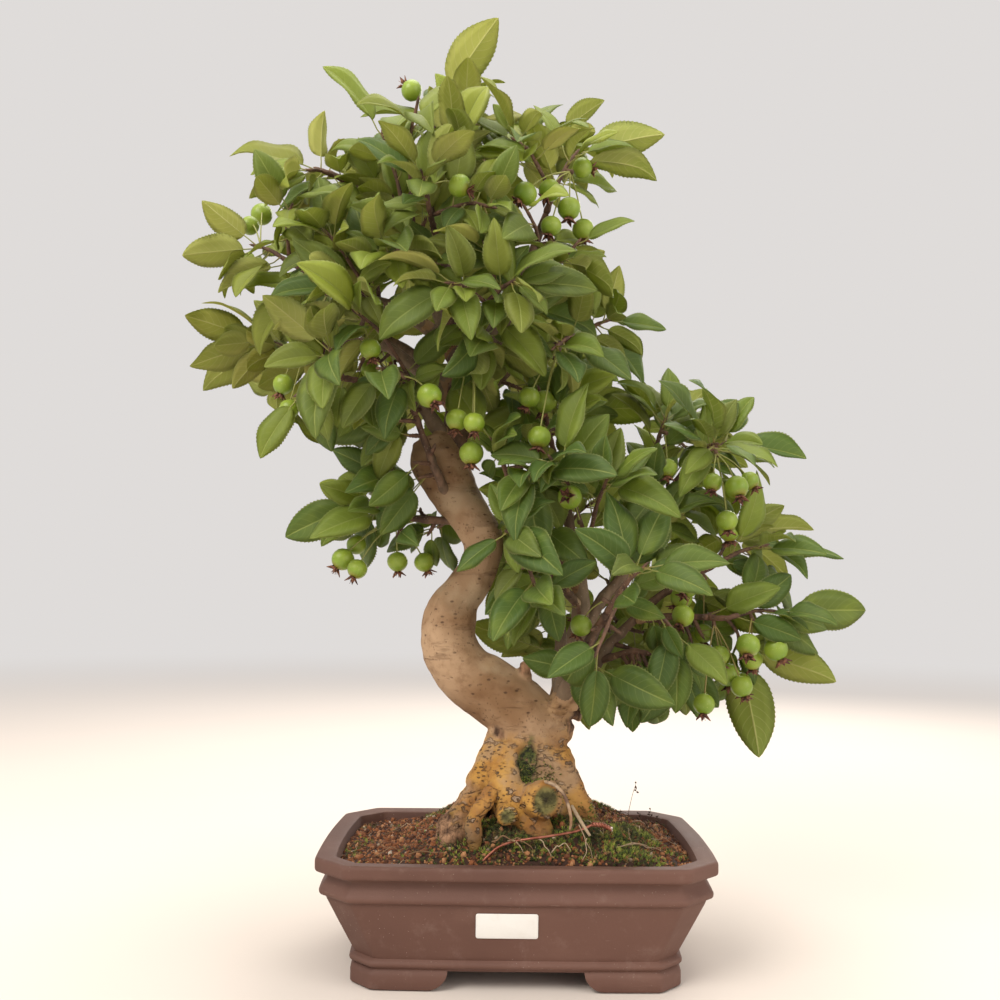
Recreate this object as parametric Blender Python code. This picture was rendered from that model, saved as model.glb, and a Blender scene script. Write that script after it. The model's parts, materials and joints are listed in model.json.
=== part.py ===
"""Hall crabapple bonsai in its clay pot, at its real size.

Metres, +Z up. The origin is on the ground under the middle of the pot, and the front of the tree faces -Y.
Tables of places are in millimetres; mm() turns them into metres.
"""

import math
import random

import bmesh
import bpy
from mathutils import Matrix, Vector
from mathutils.bvhtree import BVHTree

MM = 0.001
GAP = 0.3 * MM
UP = Vector((0, 0, 1))

# Pot, in millimetres: half length, half width and cut corner of each level of its outer wall, bottom to top
FOOT_LEVEL = (106, 79, 14.5)
MOULDING_LEVEL = (106.8, 79.4, 15)
WALL_FOOT_LEVEL = (104.5, 77.5, 15)
WALL_TOP_LEVEL = (122.8, 85.2, 19.5)
BAND_LEVEL = (127, 88, 21)
NECK_LEVEL = (122.5, 84, 19.5)
LIP_LEVEL = (130, 90, 22)
POT_HEIGHT = 78
WALL_FOOT = 19.5
WALL_TOP = 53
FOOT_HEIGHT = 12
POT_WALL = 9
LIP_WIDTH = 13
POT_FLOOR = 20
INNER_KNEE = 54
SIDE_BOW = 2.5
FOOT_GAP_LONG = 43
FOOT_GAP_SHORT = 30
FOOT_ROUND = 15
FOOT_DEPTH = 17
DRAIN_RADIUS = 9
DRAIN_SPREAD = 52

# Soil: its height at the pot's wall, and the mound round the roots
SOIL_EDGE = 71
MOUND_RISE = 26
MOUND_CENTRE = (12, 0)
MOUND_HALF = (76, 70)
SOCKET_GAP = 0.4

# Label and tie wire
LABEL_SIZE = (39, 16.5, 0.4)
LABEL_CENTRE = (-6, 41.5)
WIRE_RADIUS = 0.85
WIRE_TURNS = 1.25
STRAND_OFFSET = 0.7

# Leaves and apples
BLADE_THICKNESS = 0.7
STALK_RADIUS = 0.55
BROAD = 0.56
LEAF_LENGTH = (36, 52)
LONG_BLADE = 57
APPLE_RADIUS = (6.8, 8.5)
BUD_SHARES = (0.985, 0.86, 0.74, 0.6)
SHOOT_LEAVES = 3
LEAF_LIMITS = ((-252, -140, 105), (250, 140, 677))
THIN_BRANCH = 4.6
CROWN_HEARTS = ((-60, 0, 455), (80, 0, 265))

# Where the tree's front is looked at from: no leaf that has a choice hides an apple or the bare trunk from there
EYE = (-13, -760, 250)
BARE_HEIGHTS = (150, 368)
SIGHT_MARGIN = 3.5
SIGHT_STEPS = (0.1, 0.35, 0.6, 0.85)
SIGHT_LEAF_SHARE = 0.6
OUTLINE_STEPS = (0.55, 1.0)
HIGH_CROWN = 400
TURNED_AWAY = 0.42

# The crown's outline as that eye sees it, across and up on the upright plane through the pot's middle
CROWN_OUTLINE = (
    (-22, 680), (-40, 642), (-15, 627), (-26, 603), (6, 614), (28, 621), (55, 603), (100, 583),
    (97, 574), (67, 567), (94, 554), (94, 541), (62, 536), (60, 510), (72, 479), (79, 451), (109, 428),
    (88, 416), (125, 419), (162, 394), (167, 371), (189, 356), (211, 339), (202, 318), (213, 298),
    (239, 269), (210, 257), (252, 225), (222, 203), (227, 176), (191, 182), (182, 120), (156, 149),
    (140, 163), (131, 174), (124, 149), (105, 138), (85, 140), (71, 155), (54, 145), (42, 173),
    (17, 192), (-12, 201), (-36, 155), (-46, 156), (-50, 179), (-84, 205), (-64, 243), (-86, 248),
    (-119, 241), (-137, 259), (-130, 277), (-172, 280), (-146, 332), (-122, 341), (-151, 354),
    (-172, 365), (-183, 381), (-183, 398), (-224, 393), (-251, 401), (-238, 424), (-254, 442),
    (-234, 467), (-236, 492), (-212, 507), (-239, 527), (-240, 548), (-213, 552), (-211, 576),
    (-190, 578), (-161, 555), (-133, 560), (-157, 585), (-129, 590), (-112, 584), (-92, 602),
    (-128, 607), (-125, 619), (-77, 623), (-71, 642), (-58, 645),
)

# Wood: every tube's centre line and radius, each starting inside what it grows from
TRUNK = (
    (4, 0, 64, 36), (7, -1, 86, 38), (8, -2, 106, 37), (8, -3, 126, 33), (8, -3, 145, 27.5),
    (2, -4, 163, 25), (-16, -6, 178, 23), (-36, -8, 191, 21.5), (-47, -9, 208, 20.5), (-49, -9, 224, 19.8),
    (-45, -8, 238, 18), (-37, -6, 251, 15.5), (-29, -4, 265, 14), (-25, -2, 284, 14.6), (-33, 0, 300, 15),
    (-44, 0, 316, 17), (-53, 0, 332, 19.5), (-60, 0, 348, 20), (-65, 0, 361, 14),
)
ROOTS = {
    "burl": ((12, -2, 126, 24), (16, -3, 146, 20), (20, -4, 160, 21), (23, -4, 173, 15)),
    "left": (
        (-10, -12, 147, 11), (-18, -22, 128, 12), (-24, -28, 115, 11), (-30, -34, 103, 10), (-43, -44, 88, 10),
        (-50, -48, 68, 6),
    ),
    "left_knob": ((-32, -38, 98, 9), (-42, -50, 88, 8), (-49, -55, 72, 5)),
    "front": ((-4, -20, 140, 12), (-8, -34, 122, 13), (0, -42, 109, 13), (10, -48, 96, 12), (20, -54, 76, 8)),
    "big_stub": ((6, -34, 110, 11), (12, -48, 113, 12), (19, -61, 114, 12.5)),
    "small_stub": ((-9, -40, 106, 7), (-6, -63, 104, 6)),
    "arch": ((-14, -42, 120, 5), (-21, -54, 112, 5.2), (-28, -62, 101, 5), (-27, -64, 90, 4.6), (-25, -62, 74, 4)),
    "right": (
        (21, -8, 147, 11), (26, -14, 136, 12), (33, -18, 119, 12), (44, -22, 102, 9), (53, -26, 88, 7),
        (62, -30, 70, 5),
    ),
    "right_low": ((26, 4, 128, 11), (36, 8, 112, 9), (47, 12, 94, 7), (58, 15, 68, 5)),
    "left_low": ((-16, 2, 126, 11), (-26, 8, 110, 9), (-37, 12, 92, 7), (-48, 14, 68, 5)),
    "back_left": ((-6, 16, 140, 12), (-16, 28, 118, 13), (-28, 38, 99, 10), (-42, 48, 70, 6)),
    "back": ((6, 22, 132, 12), (8, 38, 108, 11), (10, 50, 92, 8), (12, 62, 68, 5)),
    "back_right": ((20, 12, 141, 11), (30, 24, 119, 12), (40, 36, 99, 10), (52, 48, 70, 6)),
}
BRANCHES = {
    "leader": (
        (-50, 0, 330, 14), (-43, 8, 388, 10.5), (-47, 12, 434, 8), (-54, 5, 473, 6.2), (-60, -4, 512, 4.4),
        (-67, 0, 553, 2.6),
    ),
    "left_low": ((-52, 0, 356, 6), (-80, -22, 392, 3.6), (-112, -45, 393, 2.2)),
    "left_mid": ((-48, 10, 430, 6), (-87, -20, 450, 4.5), (-127, -30, 461, 3.2), (-158, -22, 479, 2)),
    "left_far": ((-46, 6, 384, 6), (-98, 22, 432, 4), (-138, 30, 437, 3), (-166, 26, 432, 2)),
    "right_up": ((-42, 8, 384, 7.5), (-15, -15, 437, 5), (4, -28, 480, 3.6), (17, -32, 518, 2.2)),
    "right_mid": ((-42, 5, 378, 6), (-2, -4, 416, 3.6), (32, -10, 430, 2.2)),
    "back_up": ((-48, 10, 422, 6.5), (-70, 48, 482, 4), (-87, 76, 524, 2.2)),
    "back_right": ((-42, 8, 390, 6.5), (-23, 44, 450, 4), (4, 70, 486, 2.2)),
    "back_left": ((-48, 6, 400, 6), (-84, 44, 434, 3.8), (-120, 70, 458, 2.2)),
    "front_up": ((-53, 5, 460, 5), (-55, -38, 477, 3.2), (-60, -70, 493, 2)),
    "front_mid": ((-46, 8, 405, 5), (-34, -38, 428, 3), (-26, -70, 436, 2)),
    "upper_left": ((-57, 0, 488, 5), (-88, -16, 519, 3.2), (-116, -20, 537, 2)),
    "upper_right": ((-60, -4, 508, 4.6), (-35, 12, 552, 3), (-10, 22, 578, 2)),
    "thin_front": ((-50, -10, 316, 3.6), (-60, -27, 337, 3), (-73, -36, 371, 2)),
    "riser": (
        (30, -5, 164, 8), (41, -10, 214, 6.4), (45, -12, 244, 5.8), (40, -15, 272, 4.8), (33, -15, 314, 3.4),
        (25, -12, 348, 2.1),
    ),
    "middle": ((41, -10, 210, 5), (60, 0, 243, 4.2), (79, 5, 266, 3.8), (93, 1, 308, 3.2), (97, -4, 340, 2.1)),
    "upper_fork": ((92, 1, 300, 3), (112, -9, 328, 2.2)),
    "long": ((40, 2, 160, 5), (61, 10, 203, 4.2), (79, 15, 223, 3.4), (104, 12, 247, 2.9), (130, 1, 263, 2)),
    "lower": ((88, 14, 230, 2.8), (112, -4, 233, 2.4), (134, -18, 233, 2)),
    "low_side": ((60, 9, 200, 2.8), (80, 1, 207, 2.3), (92, -4, 207, 1.9)),
    "back_low": ((33, 8, 164, 6), (56, 48, 211, 4), (76, 72, 236, 2.2)),
    "front_low": ((28, -16, 166, 5.5), (44, -48, 210, 3.6), (57, -70, 236, 2.1)),
    "back_rise": ((30, 10, 168, 6), (34, 46, 226, 3.8), (29, 68, 264, 2.2)),
    "vee": ((44, -12, 248, 3.4), (20, -34, 290, 2.8), (2, -40, 312, 2)),
    "front_left": ((45, -12, 238, 3.2), (22, -44, 262, 2.4), (8, -60, 276, 2)),
    "tuft": ((-34, 0, 301, 3.4), (-62, -4, 300, 2.6), (-82, -8, 302, 2)),
}

# Leafy shoots: the branch, how far along it they stand, and then each shoot's tip with the leaf tips it
# reaches for. The second and later shoots fork from the first.
SPRAYS = (
    ("leader", 1.0, ((-62, -4, 612), (-23, 0, 676), (-18, -8, 632), (-121, 5, 611)), ((-28, -28, 588),),
     ((-60, 46, 598),)),
    ("leader", 0.78, ((-98, -48, 566), (-128, -72, 606)), ((-72, -80, 575),),
     ((-38, -66, 548),)),
    ("left_mid", 1.0, ((-192, -18, 497), (-232, -15, 527), (-240, -40, 480)), ((-160, -55, 512),)),
    ("left_mid", 0.5, ((-118, -86, 448), (-140, -128, 425)), ((-135, -70, 492),),
     ((-84, -80, 474),)),
    ("left_far", 1.0, ((-194, 20, 436), (-251, 10, 448), (-247, 15, 412)), ((-186, 40, 398),)),
    ("left_far", 0.6, ((-165, 62, 470), (-212, 88, 480)), ((-135, 88, 440),)),
    ("left_low", 1.0, ((-150, -56, 382), (-175, -70, 336)), ((-125, -85, 405),)),
    ("left_low", 0.6, ((-92, -92, 392), (-84, -138, 368)), ((-108, -84, 430),)),
    ("thin_front", 1.0, ((-88, -46, 402), (-122, -50, 372)),),
    ("upper_left", 1.0, ((-146, -24, 552), (-148, -20, 592), (-212, -25, 568)), ((-150, -52, 540),)),
    ("upper_left", 0.6, ((-120, 34, 572), (-150, 66, 592)), ((-140, 48, 522), (-188, 60, 535))),
    ("upper_right", 1.0, ((28, 18, 598), (60, 28, 628), (80, 60, 590)), ((-8, 58, 594), (0, 84, 622))),
    ("right_up", 1.0, ((38, -28, 564), (98, -15, 582), (91, -10, 553)), ((-5, -58, 560),)),
    ("right_up", 0.6, ((38, -44, 492), (74, -62, 505)), ((2, -82, 502), (20, -126, 500)),
     ((-12, -76, 468),)),
    ("right_mid", 1.0, ((64, -14, 446), (106, -15, 440), (72, -5, 482)), ((22, -72, 412), (38, -108, 385))),
    ("back_up", 1.0, ((-102, 94, 560), (-118, 128, 594)), ((-58, 104, 534), (-35, 139, 550))),
    ("back_right", 1.0, ((32, 92, 515), (62, 122, 536)), ((18, 106, 450), (40, 139, 432))),
    ("back_left", 1.0, ((-152, 92, 482), (-196, 118, 500)), ((-110, 108, 432), (-125, 139, 405))),
    ("back_left", 0.5, ((-70, 92, 398), (-62, 128, 372)),),
    ("front_up", 1.0, ((-66, -104, 516), (-90, -139, 540)), ((-22, -98, 498),)),
    ("front_mid", 1.0, ((-6, -102, 448), (12, -139, 428)), ((-46, -108, 444), (-52, -139, 420)),
     ((-24, -96, 472),)),
    ("riser", 1.0, ((14, -18, 392), (-4, -20, 440)), ((46, 24, 388), (70, 50, 405))),
    ("vee", 1.0, ((-18, -50, 350),), ((26, -36, 364), (52, -60, 378)), ((10, -74, 326),)),
    ("front_left", 1.0, ((-8, -86, 288), (-42, -92, 262)), ((12, -84, 246), (-6, -96, 216))),
    ("middle", 1.0, ((106, -8, 376), (112, -10, 410), (75, -40, 398)), ((128, 40, 362), (162, 64, 352))),
    ("middle", 0.62, ((112, 62, 318), (138, 100, 330)),),
    ("upper_fork", 1.0, ((150, -16, 358), (208, -12, 348), (164, -18, 390)), ((132, -58, 350), (150, -95, 335))),
    ("long", 1.0, ((176, -5, 284), (235, -8, 278)), ((162, 38, 296), (205, 58, 300))),
    ("lower", 1.0, ((180, -24, 238), (248, -20, 235), (213, -32, 226)), ((160, 8, 212), (225, -15, 188),
     (176, 10, 133))),
    ("low_side", 1.0, ((116, -14, 206), (88, -25, 157), (128, -30, 165)),),
    ("back_low", 1.0, ((114, 96, 262), (152, 126, 270)), ((66, 102, 232), (78, 138, 206))),
    ("front_low", 1.0, ((78, -96, 266), (108, -136, 250)), ((104, -66, 222), (130, -95, 195)),
     ((48, -104, 214),)),
    ("back_rise", 1.0, ((20, 94, 322), (8, 130, 345)), ((62, 84, 322), (95, 112, 345)),
     ((2, 58, 262),)),
    ("riser", 0.66, ((56, -76, 322), (78, -112, 340)), ((20, -84, 335), (8, -122, 322))),
    ("tuft", 1.0, ((-110, -8, 314), (-168, -12, 283), (-146, -5, 322)), ((-92, -4, 334),)),
)

# Bunches: the spot on a shoot or branch where the spur stands, then the middle of each apple
BUNCHES = (
    ((22, -34, 556), (19, -45, 530), (43, -30, 553), (7, -50, 519), (33, -40, 519), (23, -48, 501), (44, -26, 509)),
    ((-45, -90, 530), (-37, -98, 503)),
    ((-196, -6, 548), (-203, 5, 520), (-199, 25, 536)),
    ((-158, -24, 424), (-169, -20, 395), (-163, -27, 376)),
    ((-100, -84, 432), (-99, -86, 406)),
    ((-56, -74, 410), (-60, -85, 376)),
    ((-36, -58, 396), (-43, -62, 364), (-31, -74, 360), (-33, -58, 342)),
    ((8, -52, 412), (12, -75, 351), (6, -50, 382), (17, -34, 382)),
    ((-66, 0, 598), (-84, 6, 627)),
    ((30, -60, 285), (32, -80, 311)),
    ((100, -12, 366), (105, -20, 338)),
    ((140, -14, 352), (135, -30, 327), (150, -38, 323), (162, -25, 329), (147, -20, 301), (152, -5, 295)),
    ((116, -6, 282), (119, -20, 253), (115, -24, 234), (117, -3, 245), (134, 0, 221)),
    ((48, -58, 262), (43, -60, 229)),
    ((138, -18, 232), (140, -25, 207), (148, -15, 193), (159, -5, 186), (138, -30, 167), (150, -25, 180)),
    ((160, -22, 240), (156, -42, 215), (178, -30, 212), (164, -20, 204)),
    ((-88, -9, 303), (-125, -10, 271), (-113, -22, 264), (-117, 0, 282), (-87, 0, 270), (-68, 5, 270)),
    ((-110, 84, 476), (-112, 96, 446), (-96, 104, 438), (-124, 108, 434)),
    ((60, 78, 262), (52, 88, 232), (66, 96, 222)),
)
WIRE = (
    (-33, -71, 66), (-23, -73.5, 77), (-12, -72, 86.5), (0, -71, 90.5), (18, -72, 93.5), (34, -69, 95.6),
    (43, -66, 97.4), (49, -63.5, 99.8),
)
WIRE_END = ((49, -63.5, 99.8), (55, -65, 99.8), (61, -66.5, 97.4))


def mm(values):
    """A point given in millimetres, in metres."""
    return Vector(values) * MM


def smooth(points, steps):
    """A smooth curve through hand-set points, each a place and a radius in millimetres, in metres."""
    knots = [Vector(p) * MM for p in points]
    path = []
    for i in range(len(knots) - 1):
        before = knots[max(i - 1, 0)]
        after = knots[min(i + 2, len(knots) - 1)]
        for step in range(steps):
            t = step / steps
            near = (knots[i + 1] - before) * 0.5 * t * (1 - t) * (1 - t)
            far = (knots[i] - after) * 0.5 * t * t * (1 - t)
            blend = t * t * (3 - 2 * t)
            path.append(knots[i].lerp(knots[i + 1], blend) + near + far)
    path.append(knots[-1])
    return [(p.to_3d(), p.w) for p in path]


def place_along(path, share):
    """The point, radius and direction at a share of a path."""
    at = min(share, 0.999) * (len(path) - 1)
    i = int(at)
    (near, near_radius), (far, far_radius) = path[i], path[i + 1]
    t = at - i if share < 1 else 1.0
    return near.lerp(far, t), near_radius + (far_radius - near_radius) * t, (far - near).normalized()


def inside(outline, across, up):
    """Whether a point of a plane lies inside an outline."""
    crossings = 0
    for (x0, z0), (x1, z1) in zip(outline, outline[1:] + outline[:1]):
        if (z0 > up) != (z1 > up) and across < x0 + (x1 - x0) * (up - z0) / (z1 - z0):
            crossings += 1
    return crossings % 2 == 1


def ring_round(centre, axis, radius, sides, start=None):
    """Corners of a circle square to an axis."""
    first = (start - axis * start.dot(axis)).normalized() if start else axis.orthogonal().normalized()
    second = axis.cross(first)
    turns = [2 * math.pi * k / sides for k in range(sides)]
    return [centre + first * (radius * math.cos(a)) + second * (radius * math.sin(a)) for a in turns]


def loft(rings):
    """Corners and faces of a closed solid through rings of 6, 3 or 1 corners.

    The second half of a ring of 6 splits its four-sided faces the other way, so that the two faces of a thin
    blade have the same triangles.
    """
    corners = [corner for ring in rings for corner in ring]
    faces = [tuple(reversed(range(len(rings[0]))))]
    at = 0
    for near, far in zip(rings, rings[1:]):
        n, to = len(near), at + len(near)
        for i in range(n):
            j = (i + 1) % n
            if len(far) == 1:
                faces.append((at + i, at + j, to))
            elif len(far) == n and i < 3:
                faces += [(at + i, at + j, to + j), (at + i, to + j, to + i)]
            elif len(far) == n:
                faces += [(at + i, at + j, to + i), (at + j, to + j, to + i)]
            elif len(far) > n:
                faces += [(at + i, to + 2 * i + 1, to + 2 * i), (at + i, at + j, to + 2 * i + 1),
                          (at + j, to + (2 * i + 2) % 6, to + 2 * i + 1)]
            elif i % 2 == 0:
                k = i // 2
                faces += [(at + i, at + i + 1, to + k), (at + i + 1, at + (i + 2) % 6, to + k),
                          (at + (i + 2) % 6, to + (k + 1) % 3, to + k)]
        at = to
    if len(rings[-1]) > 1:
        faces.append(tuple(range(at, at + len(rings[-1]))))
    return corners, faces


class Leaf:
    """One leaf: a stalk from its root to its blade, and a folded blade that arches down."""

    def __init__(self, root, heading, face, length, stalk, droop, fold):
        self.root = root
        self.heading = heading
        self.side = heading.cross(face).normalized()
        self.face = self.side.cross(heading).normalized()
        self.length = length
        self.droop = droop
        self.fold = fold
        self.blade = root + heading * stalk

    def middle(self, u):
        """The point of the midrib at share u of the blade, and the face's direction there."""
        point = self.blade + (self.heading * u - self.face * (0.5 * self.droop * u * u)) * self.length
        along = (self.heading - self.face * (self.droop * u)).normalized()
        return point, self.side.cross(along).normalized()

    def half_width(self, u):
        """Half the blade's width: round at its base, widest before its middle and drawn out to a point."""
        full = 0.43 ** 0.58 * 0.57 ** 0.78
        return 0.5 * BROAD * self.length * u ** 0.58 * (1 - u) ** 0.78 / full

    def rings(self, rows, grow=0.0):
        """The stalk's two rings, one ring for each row of the blade and its tip."""
        thick = 0.5 * BLADE_THICKNESS * MM + grow
        radius = STALK_RADIUS * MM + grow
        stalk = [ring_round(p, self.heading, radius, 3, self.face - self.side) for p in (self.root, self.blade)]
        blades = []
        for u in rows:
            middle, face = self.middle(u)
            half = self.half_width(u) + grow
            out = self.side * (half * math.cos(self.fold))
            lift = face * (half * math.sin(self.fold))
            top = [middle - out + lift, middle, middle + out + lift]
            blades.append([p + face * thick for p in top] + [p - face * thick for p in reversed(top)])
        end, _ = self.middle(1)
        return stalk, blades, [[end + (end - self.blade).normalized() * grow]]

    def solid(self):
        stalk, blades, tip = self.rings(self.rows())
        return loft(stalk + blades + tip)

    def rows(self):
        return (0.17, 0.46, 0.78) if self.length > LONG_BLADE * MM else (0.24, 0.64)


class Shell:
    """A closed surface that later growth keeps clear of."""

    def __init__(self, owner, corners, faces):
        self.owner = owner
        self.middle = sum(corners, Vector()) / len(corners)
        self.reach = max((corner - self.middle).length for corner in corners)
        self.tree = BVHTree.FromPolygons(corners, faces)

    def meets(self, other):
        near = (self.middle - other.middle).length < self.reach + other.reach
        return near and bool(self.tree.overlap(other.tree))


def tube_shell(owner, path, sides=10, grow=0.0):
    """The shell of a tube; its first ring keeps its own radius, because it stands on what carries it."""
    rings = []
    for i, (point, radius) in enumerate(path):
        ahead = path[min(i + 1, len(path) - 1)][0] - path[max(i - 1, 0)][0]
        rings.append(ring_round(point, ahead.normalized(), radius + (grow if i else 0.0), sides))
    corners = [corner for ring in rings for corner in ring]
    faces = [tuple(range(sides)), tuple(range(len(corners) - sides, len(corners)))]
    for at in range(0, len(corners) - sides, sides):
        for i in range(sides):
            j = (i + 1) % sides
            faces.append((at + i, at + j, at + j + sides, at + i + sides))
    return Shell(owner, corners, faces)


def shoot_path(start, first, radius, tip, bend):
    """A shoot's path: straight out along its first direction, then bowed a little upward to its tip."""
    reach = (tip - start).length
    bow = start + first * (0.3 * reach)
    halfway = bow.lerp(tip, 0.52) + (UP * 0.05 + bend) * reach
    radii = [radius + (1.0 * MM - radius) * t for t in (0, 0.3, 0.65, 1)]
    return list(zip((start, bow, halfway, tip), radii))


def side_start(path, share, tip, radius):
    """Where a shoot stands on the side of a branch, and the direction that it leaves in."""
    centre, thickness, along = place_along(path, share)
    out = tip - centre
    out = (out - along * out.dot(along)).normalized()
    return centre + out * (thickness + GAP), out, min(radius, 0.8 * thickness)


class Spray:
    """Leafy shoots that fork from one base, with their leaves."""

    def __init__(self, name):
        self.name = name
        self.shoots = []
        self.aims = []
        self.leaves = []


class Bunch:
    """Apples on one spur: the spur's path, and for each apple its stalk, middle, axis and radius."""

    def __init__(self, name, knob):
        self.name = name
        self.knob = knob
        self.apples = []


def apple_rings(stalk, middle, axis, radius):
    """An apple with its stalk above and its dried calyx below, as rings for a loft."""
    side = axis.orthogonal()
    rings = [ring_round(point, axis, STALK_RADIUS * MM, 3, side) for point in stalk]
    for height, share in ((-0.78, 0.62), (-0.05, 1.0), (0.72, 0.7)):
        rings.append(ring_round(middle + axis * (height * radius), axis, share * radius, 6, side))
    rings.append(ring_round(middle + axis * (0.9 * radius), axis, 0.17 * radius, 3, side))
    rings.append(ring_round(middle + axis * (1.38 * radius), axis, 0.32 * radius, 3, side))
    return rings


class Growth:
    """Everything that grows, placed in order so that nothing runs through anything else."""

    def __init__(self):
        self.shells = []
        self.wood = {"trunk": smooth(TRUNK, 1)}
        for name, points in ROOTS.items():
            self.wood["root_" + name] = smooth(points, 1)
        for name, points in BRANCHES.items():
            self.wood[name] = smooth(points, 1)
        for name, path in self.wood.items():
            self.shells.append(tube_shell("wood", path, 12, 0.1 * MM))
        self.sprays = []
        self.bunches = []
        self.grow_sprays()
        self.grow_bunches()
        low, high = (height * MM for height in BARE_HEIGHTS)
        self.shown = [(place, radius) for place, radius in smooth(TRUNK, 3) if low < place.z < high]
        self.shown += [(middle, radius) for bunch in self.bunches for _, middle, _, radius in bunch.apples]

    def clear(self, shell, skip=()):
        return not any(other.owner not in skip and shell.meets(other) for other in self.shells)

    def grow_sprays(self):
        for number, (branch, share, *shoots) in enumerate(SPRAYS, 1):
            spray = Spray("spray_%02d" % number)
            rng = random.Random(100 + number)
            for order, (tip, *aims) in enumerate(shoots):
                self.grow_shoot(spray, branch, share, order, mm(tip), rng)
                spray.aims.append([mm(aim) for aim in aims])
            self.sprays.append(spray)

    def grow_shoot(self, spray, branch, share, order, tip, rng):
        """One shoot, bent aside a little at a time until it runs clear."""
        parent = self.wood[branch] if order == 0 else spray.shoots[0]
        for attempt in range(30):
            if order == 0 and share == 1.0:
                end, radius, along = place_along(parent, 1.0)
                start, first = end + along * GAP, along
            elif order == 0:
                start, first, radius = side_start(parent, share, tip, 1.9 * MM)
            else:
                start, radius, along = place_along(parent, 0.3 + 0.25 * (order - 1))
                first, radius = ((tip - start).normalized() + along * 0.6).normalized(), 0.8 * radius
            sway = 0.02 * attempt
            bend = Vector([rng.uniform(-1, 1) * sway * 2 for _ in range(3)])
            shift = Vector([rng.uniform(-1, 1) * sway * 0.03 for _ in range(3)])
            path = shoot_path(start, first, radius, tip + shift, bend)
            if order:
                del path[1]
            shell = tube_shell(spray.name, path, 8, 2 * GAP)
            if self.clear(shell, (spray.name,)):
                break
        spray.shoots.append(path)
        self.shells.append(shell)

    def spur_spot(self, spot):
        """The nearest point on a shoot or branch to a spot, with its radius and direction."""
        paths = [path for spray in self.sprays for path in spray.shoots]
        paths += [path for name, path in self.wood.items() if name in BRANCHES]
        places = [place_along(path, k / 24) for path in paths for k in range(2, 24)]
        return min(places, key=lambda place: (place[0] - spot).length)

    def grow_bunches(self):
        for number, (spot, *middles) in enumerate(BUNCHES, 1):
            rng = random.Random(500 + number)
            middles = [mm(middle) for middle in middles]
            centre, thickness, along = self.spur_spot(mm(spot))
            out = sum(middles, Vector()) / len(middles) - centre
            out = (out - along * out.dot(along)).normalized()
            base = centre + out * (thickness + GAP)
            end = base + out * (4.5 * MM)
            bunch = Bunch("fruit_%02d" % number, [(base, 1.3 * MM), (end, 1.7 * MM)])
            for middle in middles:
                self.grow_apple(bunch, middle, rng)
            self.shells.append(tube_shell(bunch.name, bunch.knob, 8))
            self.bunches.append(bunch)

    def grow_apple(self, bunch, middle, rng):
        """One apple on its stalk, moved a little at a time until it hangs clear."""
        (base, _), (end, _) = bunch.knob
        out = (end - base).normalized()
        radius = rng.uniform(*APPLE_RADIUS) * MM
        for attempt in range(40):
            shift = Vector([rng.uniform(-1, 1) * 0.0006 * attempt for _ in range(3)])
            centre = middle + shift
            axis = ((centre - end).normalized() * 0.75 - UP * 0.35).normalized()
            top = centre - axis * (0.86 * radius)
            aside = centre - end
            aside = (aside - out * aside.dot(out)).normalized()
            root = end - out * (1.4 * MM) + aside * (0.6 * MM)
            hang = [root.lerp(top, 0.3), top]
            shell = Shell(bunch.name, *loft(apple_rings([root, top], centre, axis, radius + GAP)))
            alone = Shell(bunch.name, *loft(apple_rings(hang, centre, axis, radius)))
            if self.clear(shell, (bunch.name,)) and self.clear(alone):
                break
        bunch.apples.append(([root, top], centre, axis, radius))
        self.shells.append(Shell(bunch.name, *loft(apple_rings(hang, centre, axis, radius))))

    def fits(self, spray, leaf):
        """Whether a leaf stays inside the crown's limits and clear of everything; then it is kept."""
        low, high = LEAF_LIMITS
        stalk, blades, tip = leaf.rings(leaf.rows(), GAP)
        for corner in [corner for ring in blades + tip for corner in ring]:
            if any(not low[k] * MM <= corner[k] <= high[k] * MM for k in range(3)):
                return False
        blade = Shell(spray.name, *loft(stalk[1:] + blades + tip))
        own = Shell(spray.name, *loft([ring_round(leaf.root, leaf.heading, 0.9 * MM, 3), stalk[1]]))
        if not (self.clear(blade) and self.clear(own, (spray.name,))):
            return False
        stalk, blades, tip = leaf.rings(leaf.rows())
        self.shells.append(Shell(spray.name, *loft(stalk[1:] + blades + tip)))
        self.shells.append(Shell(spray.name, *loft(stalk)))
        spray.leaves.append(leaf)
        return True

    def hides(self, leaf):
        """Whether a leaf stands between the eye and something that is to be seen."""
        eye = mm(EYE)
        for u in SIGHT_STEPS:
            point, _ = leaf.middle(u)
            ray = point - eye
            reach = ray.length
            for place, radius in self.shown:
                far = (place - eye).length
                if reach < far - radius:
                    aside = ((place - eye) / far - ray / reach).length * far
                    if aside < radius + SIGHT_MARGIN * MM + SIGHT_LEAF_SHARE * leaf.half_width(u):
                        return True
        return False

    def strays(self, leaf):
        """Whether a leaf leaves the crown's outline."""
        eye = mm(EYE)
        for u in OUTLINE_STEPS:
            point, _ = leaf.middle(u)
            seen = eye + (point - eye) * (eye.y / (eye.y - point.y))
            if not inside(CROWN_OUTLINE, seen.x / MM, seen.z / MM):
                return True
        return False

    def outward(self, point):
        """Away from the heart of the nearer half of the crown."""
        hearts = [mm(heart) for heart in CROWN_HEARTS]
        heart = min(hearts, key=lambda place: (place - point).length)
        return (point - heart).normalized()

    def to_light(self, point, rng):
        """Where a leaf's face turns: up, outward, and to the front or the back, whichever it is nearer to.

        High in the crown many leaves turn the other way, and show their undersides.
        """
        side = 1 if point.y > rng.uniform(-4, 22) * MM else -1
        if point.z > HIGH_CROWN * MM and rng.random() < TURNED_AWAY:
            side = -side
        loose = Vector([rng.uniform(-1, 1) * 0.3 for _ in range(3)])
        return (UP * 0.55 + self.outward(point) * 0.5 + Vector((0, 0.75 * side, 0)) + loose).normalized()

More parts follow.
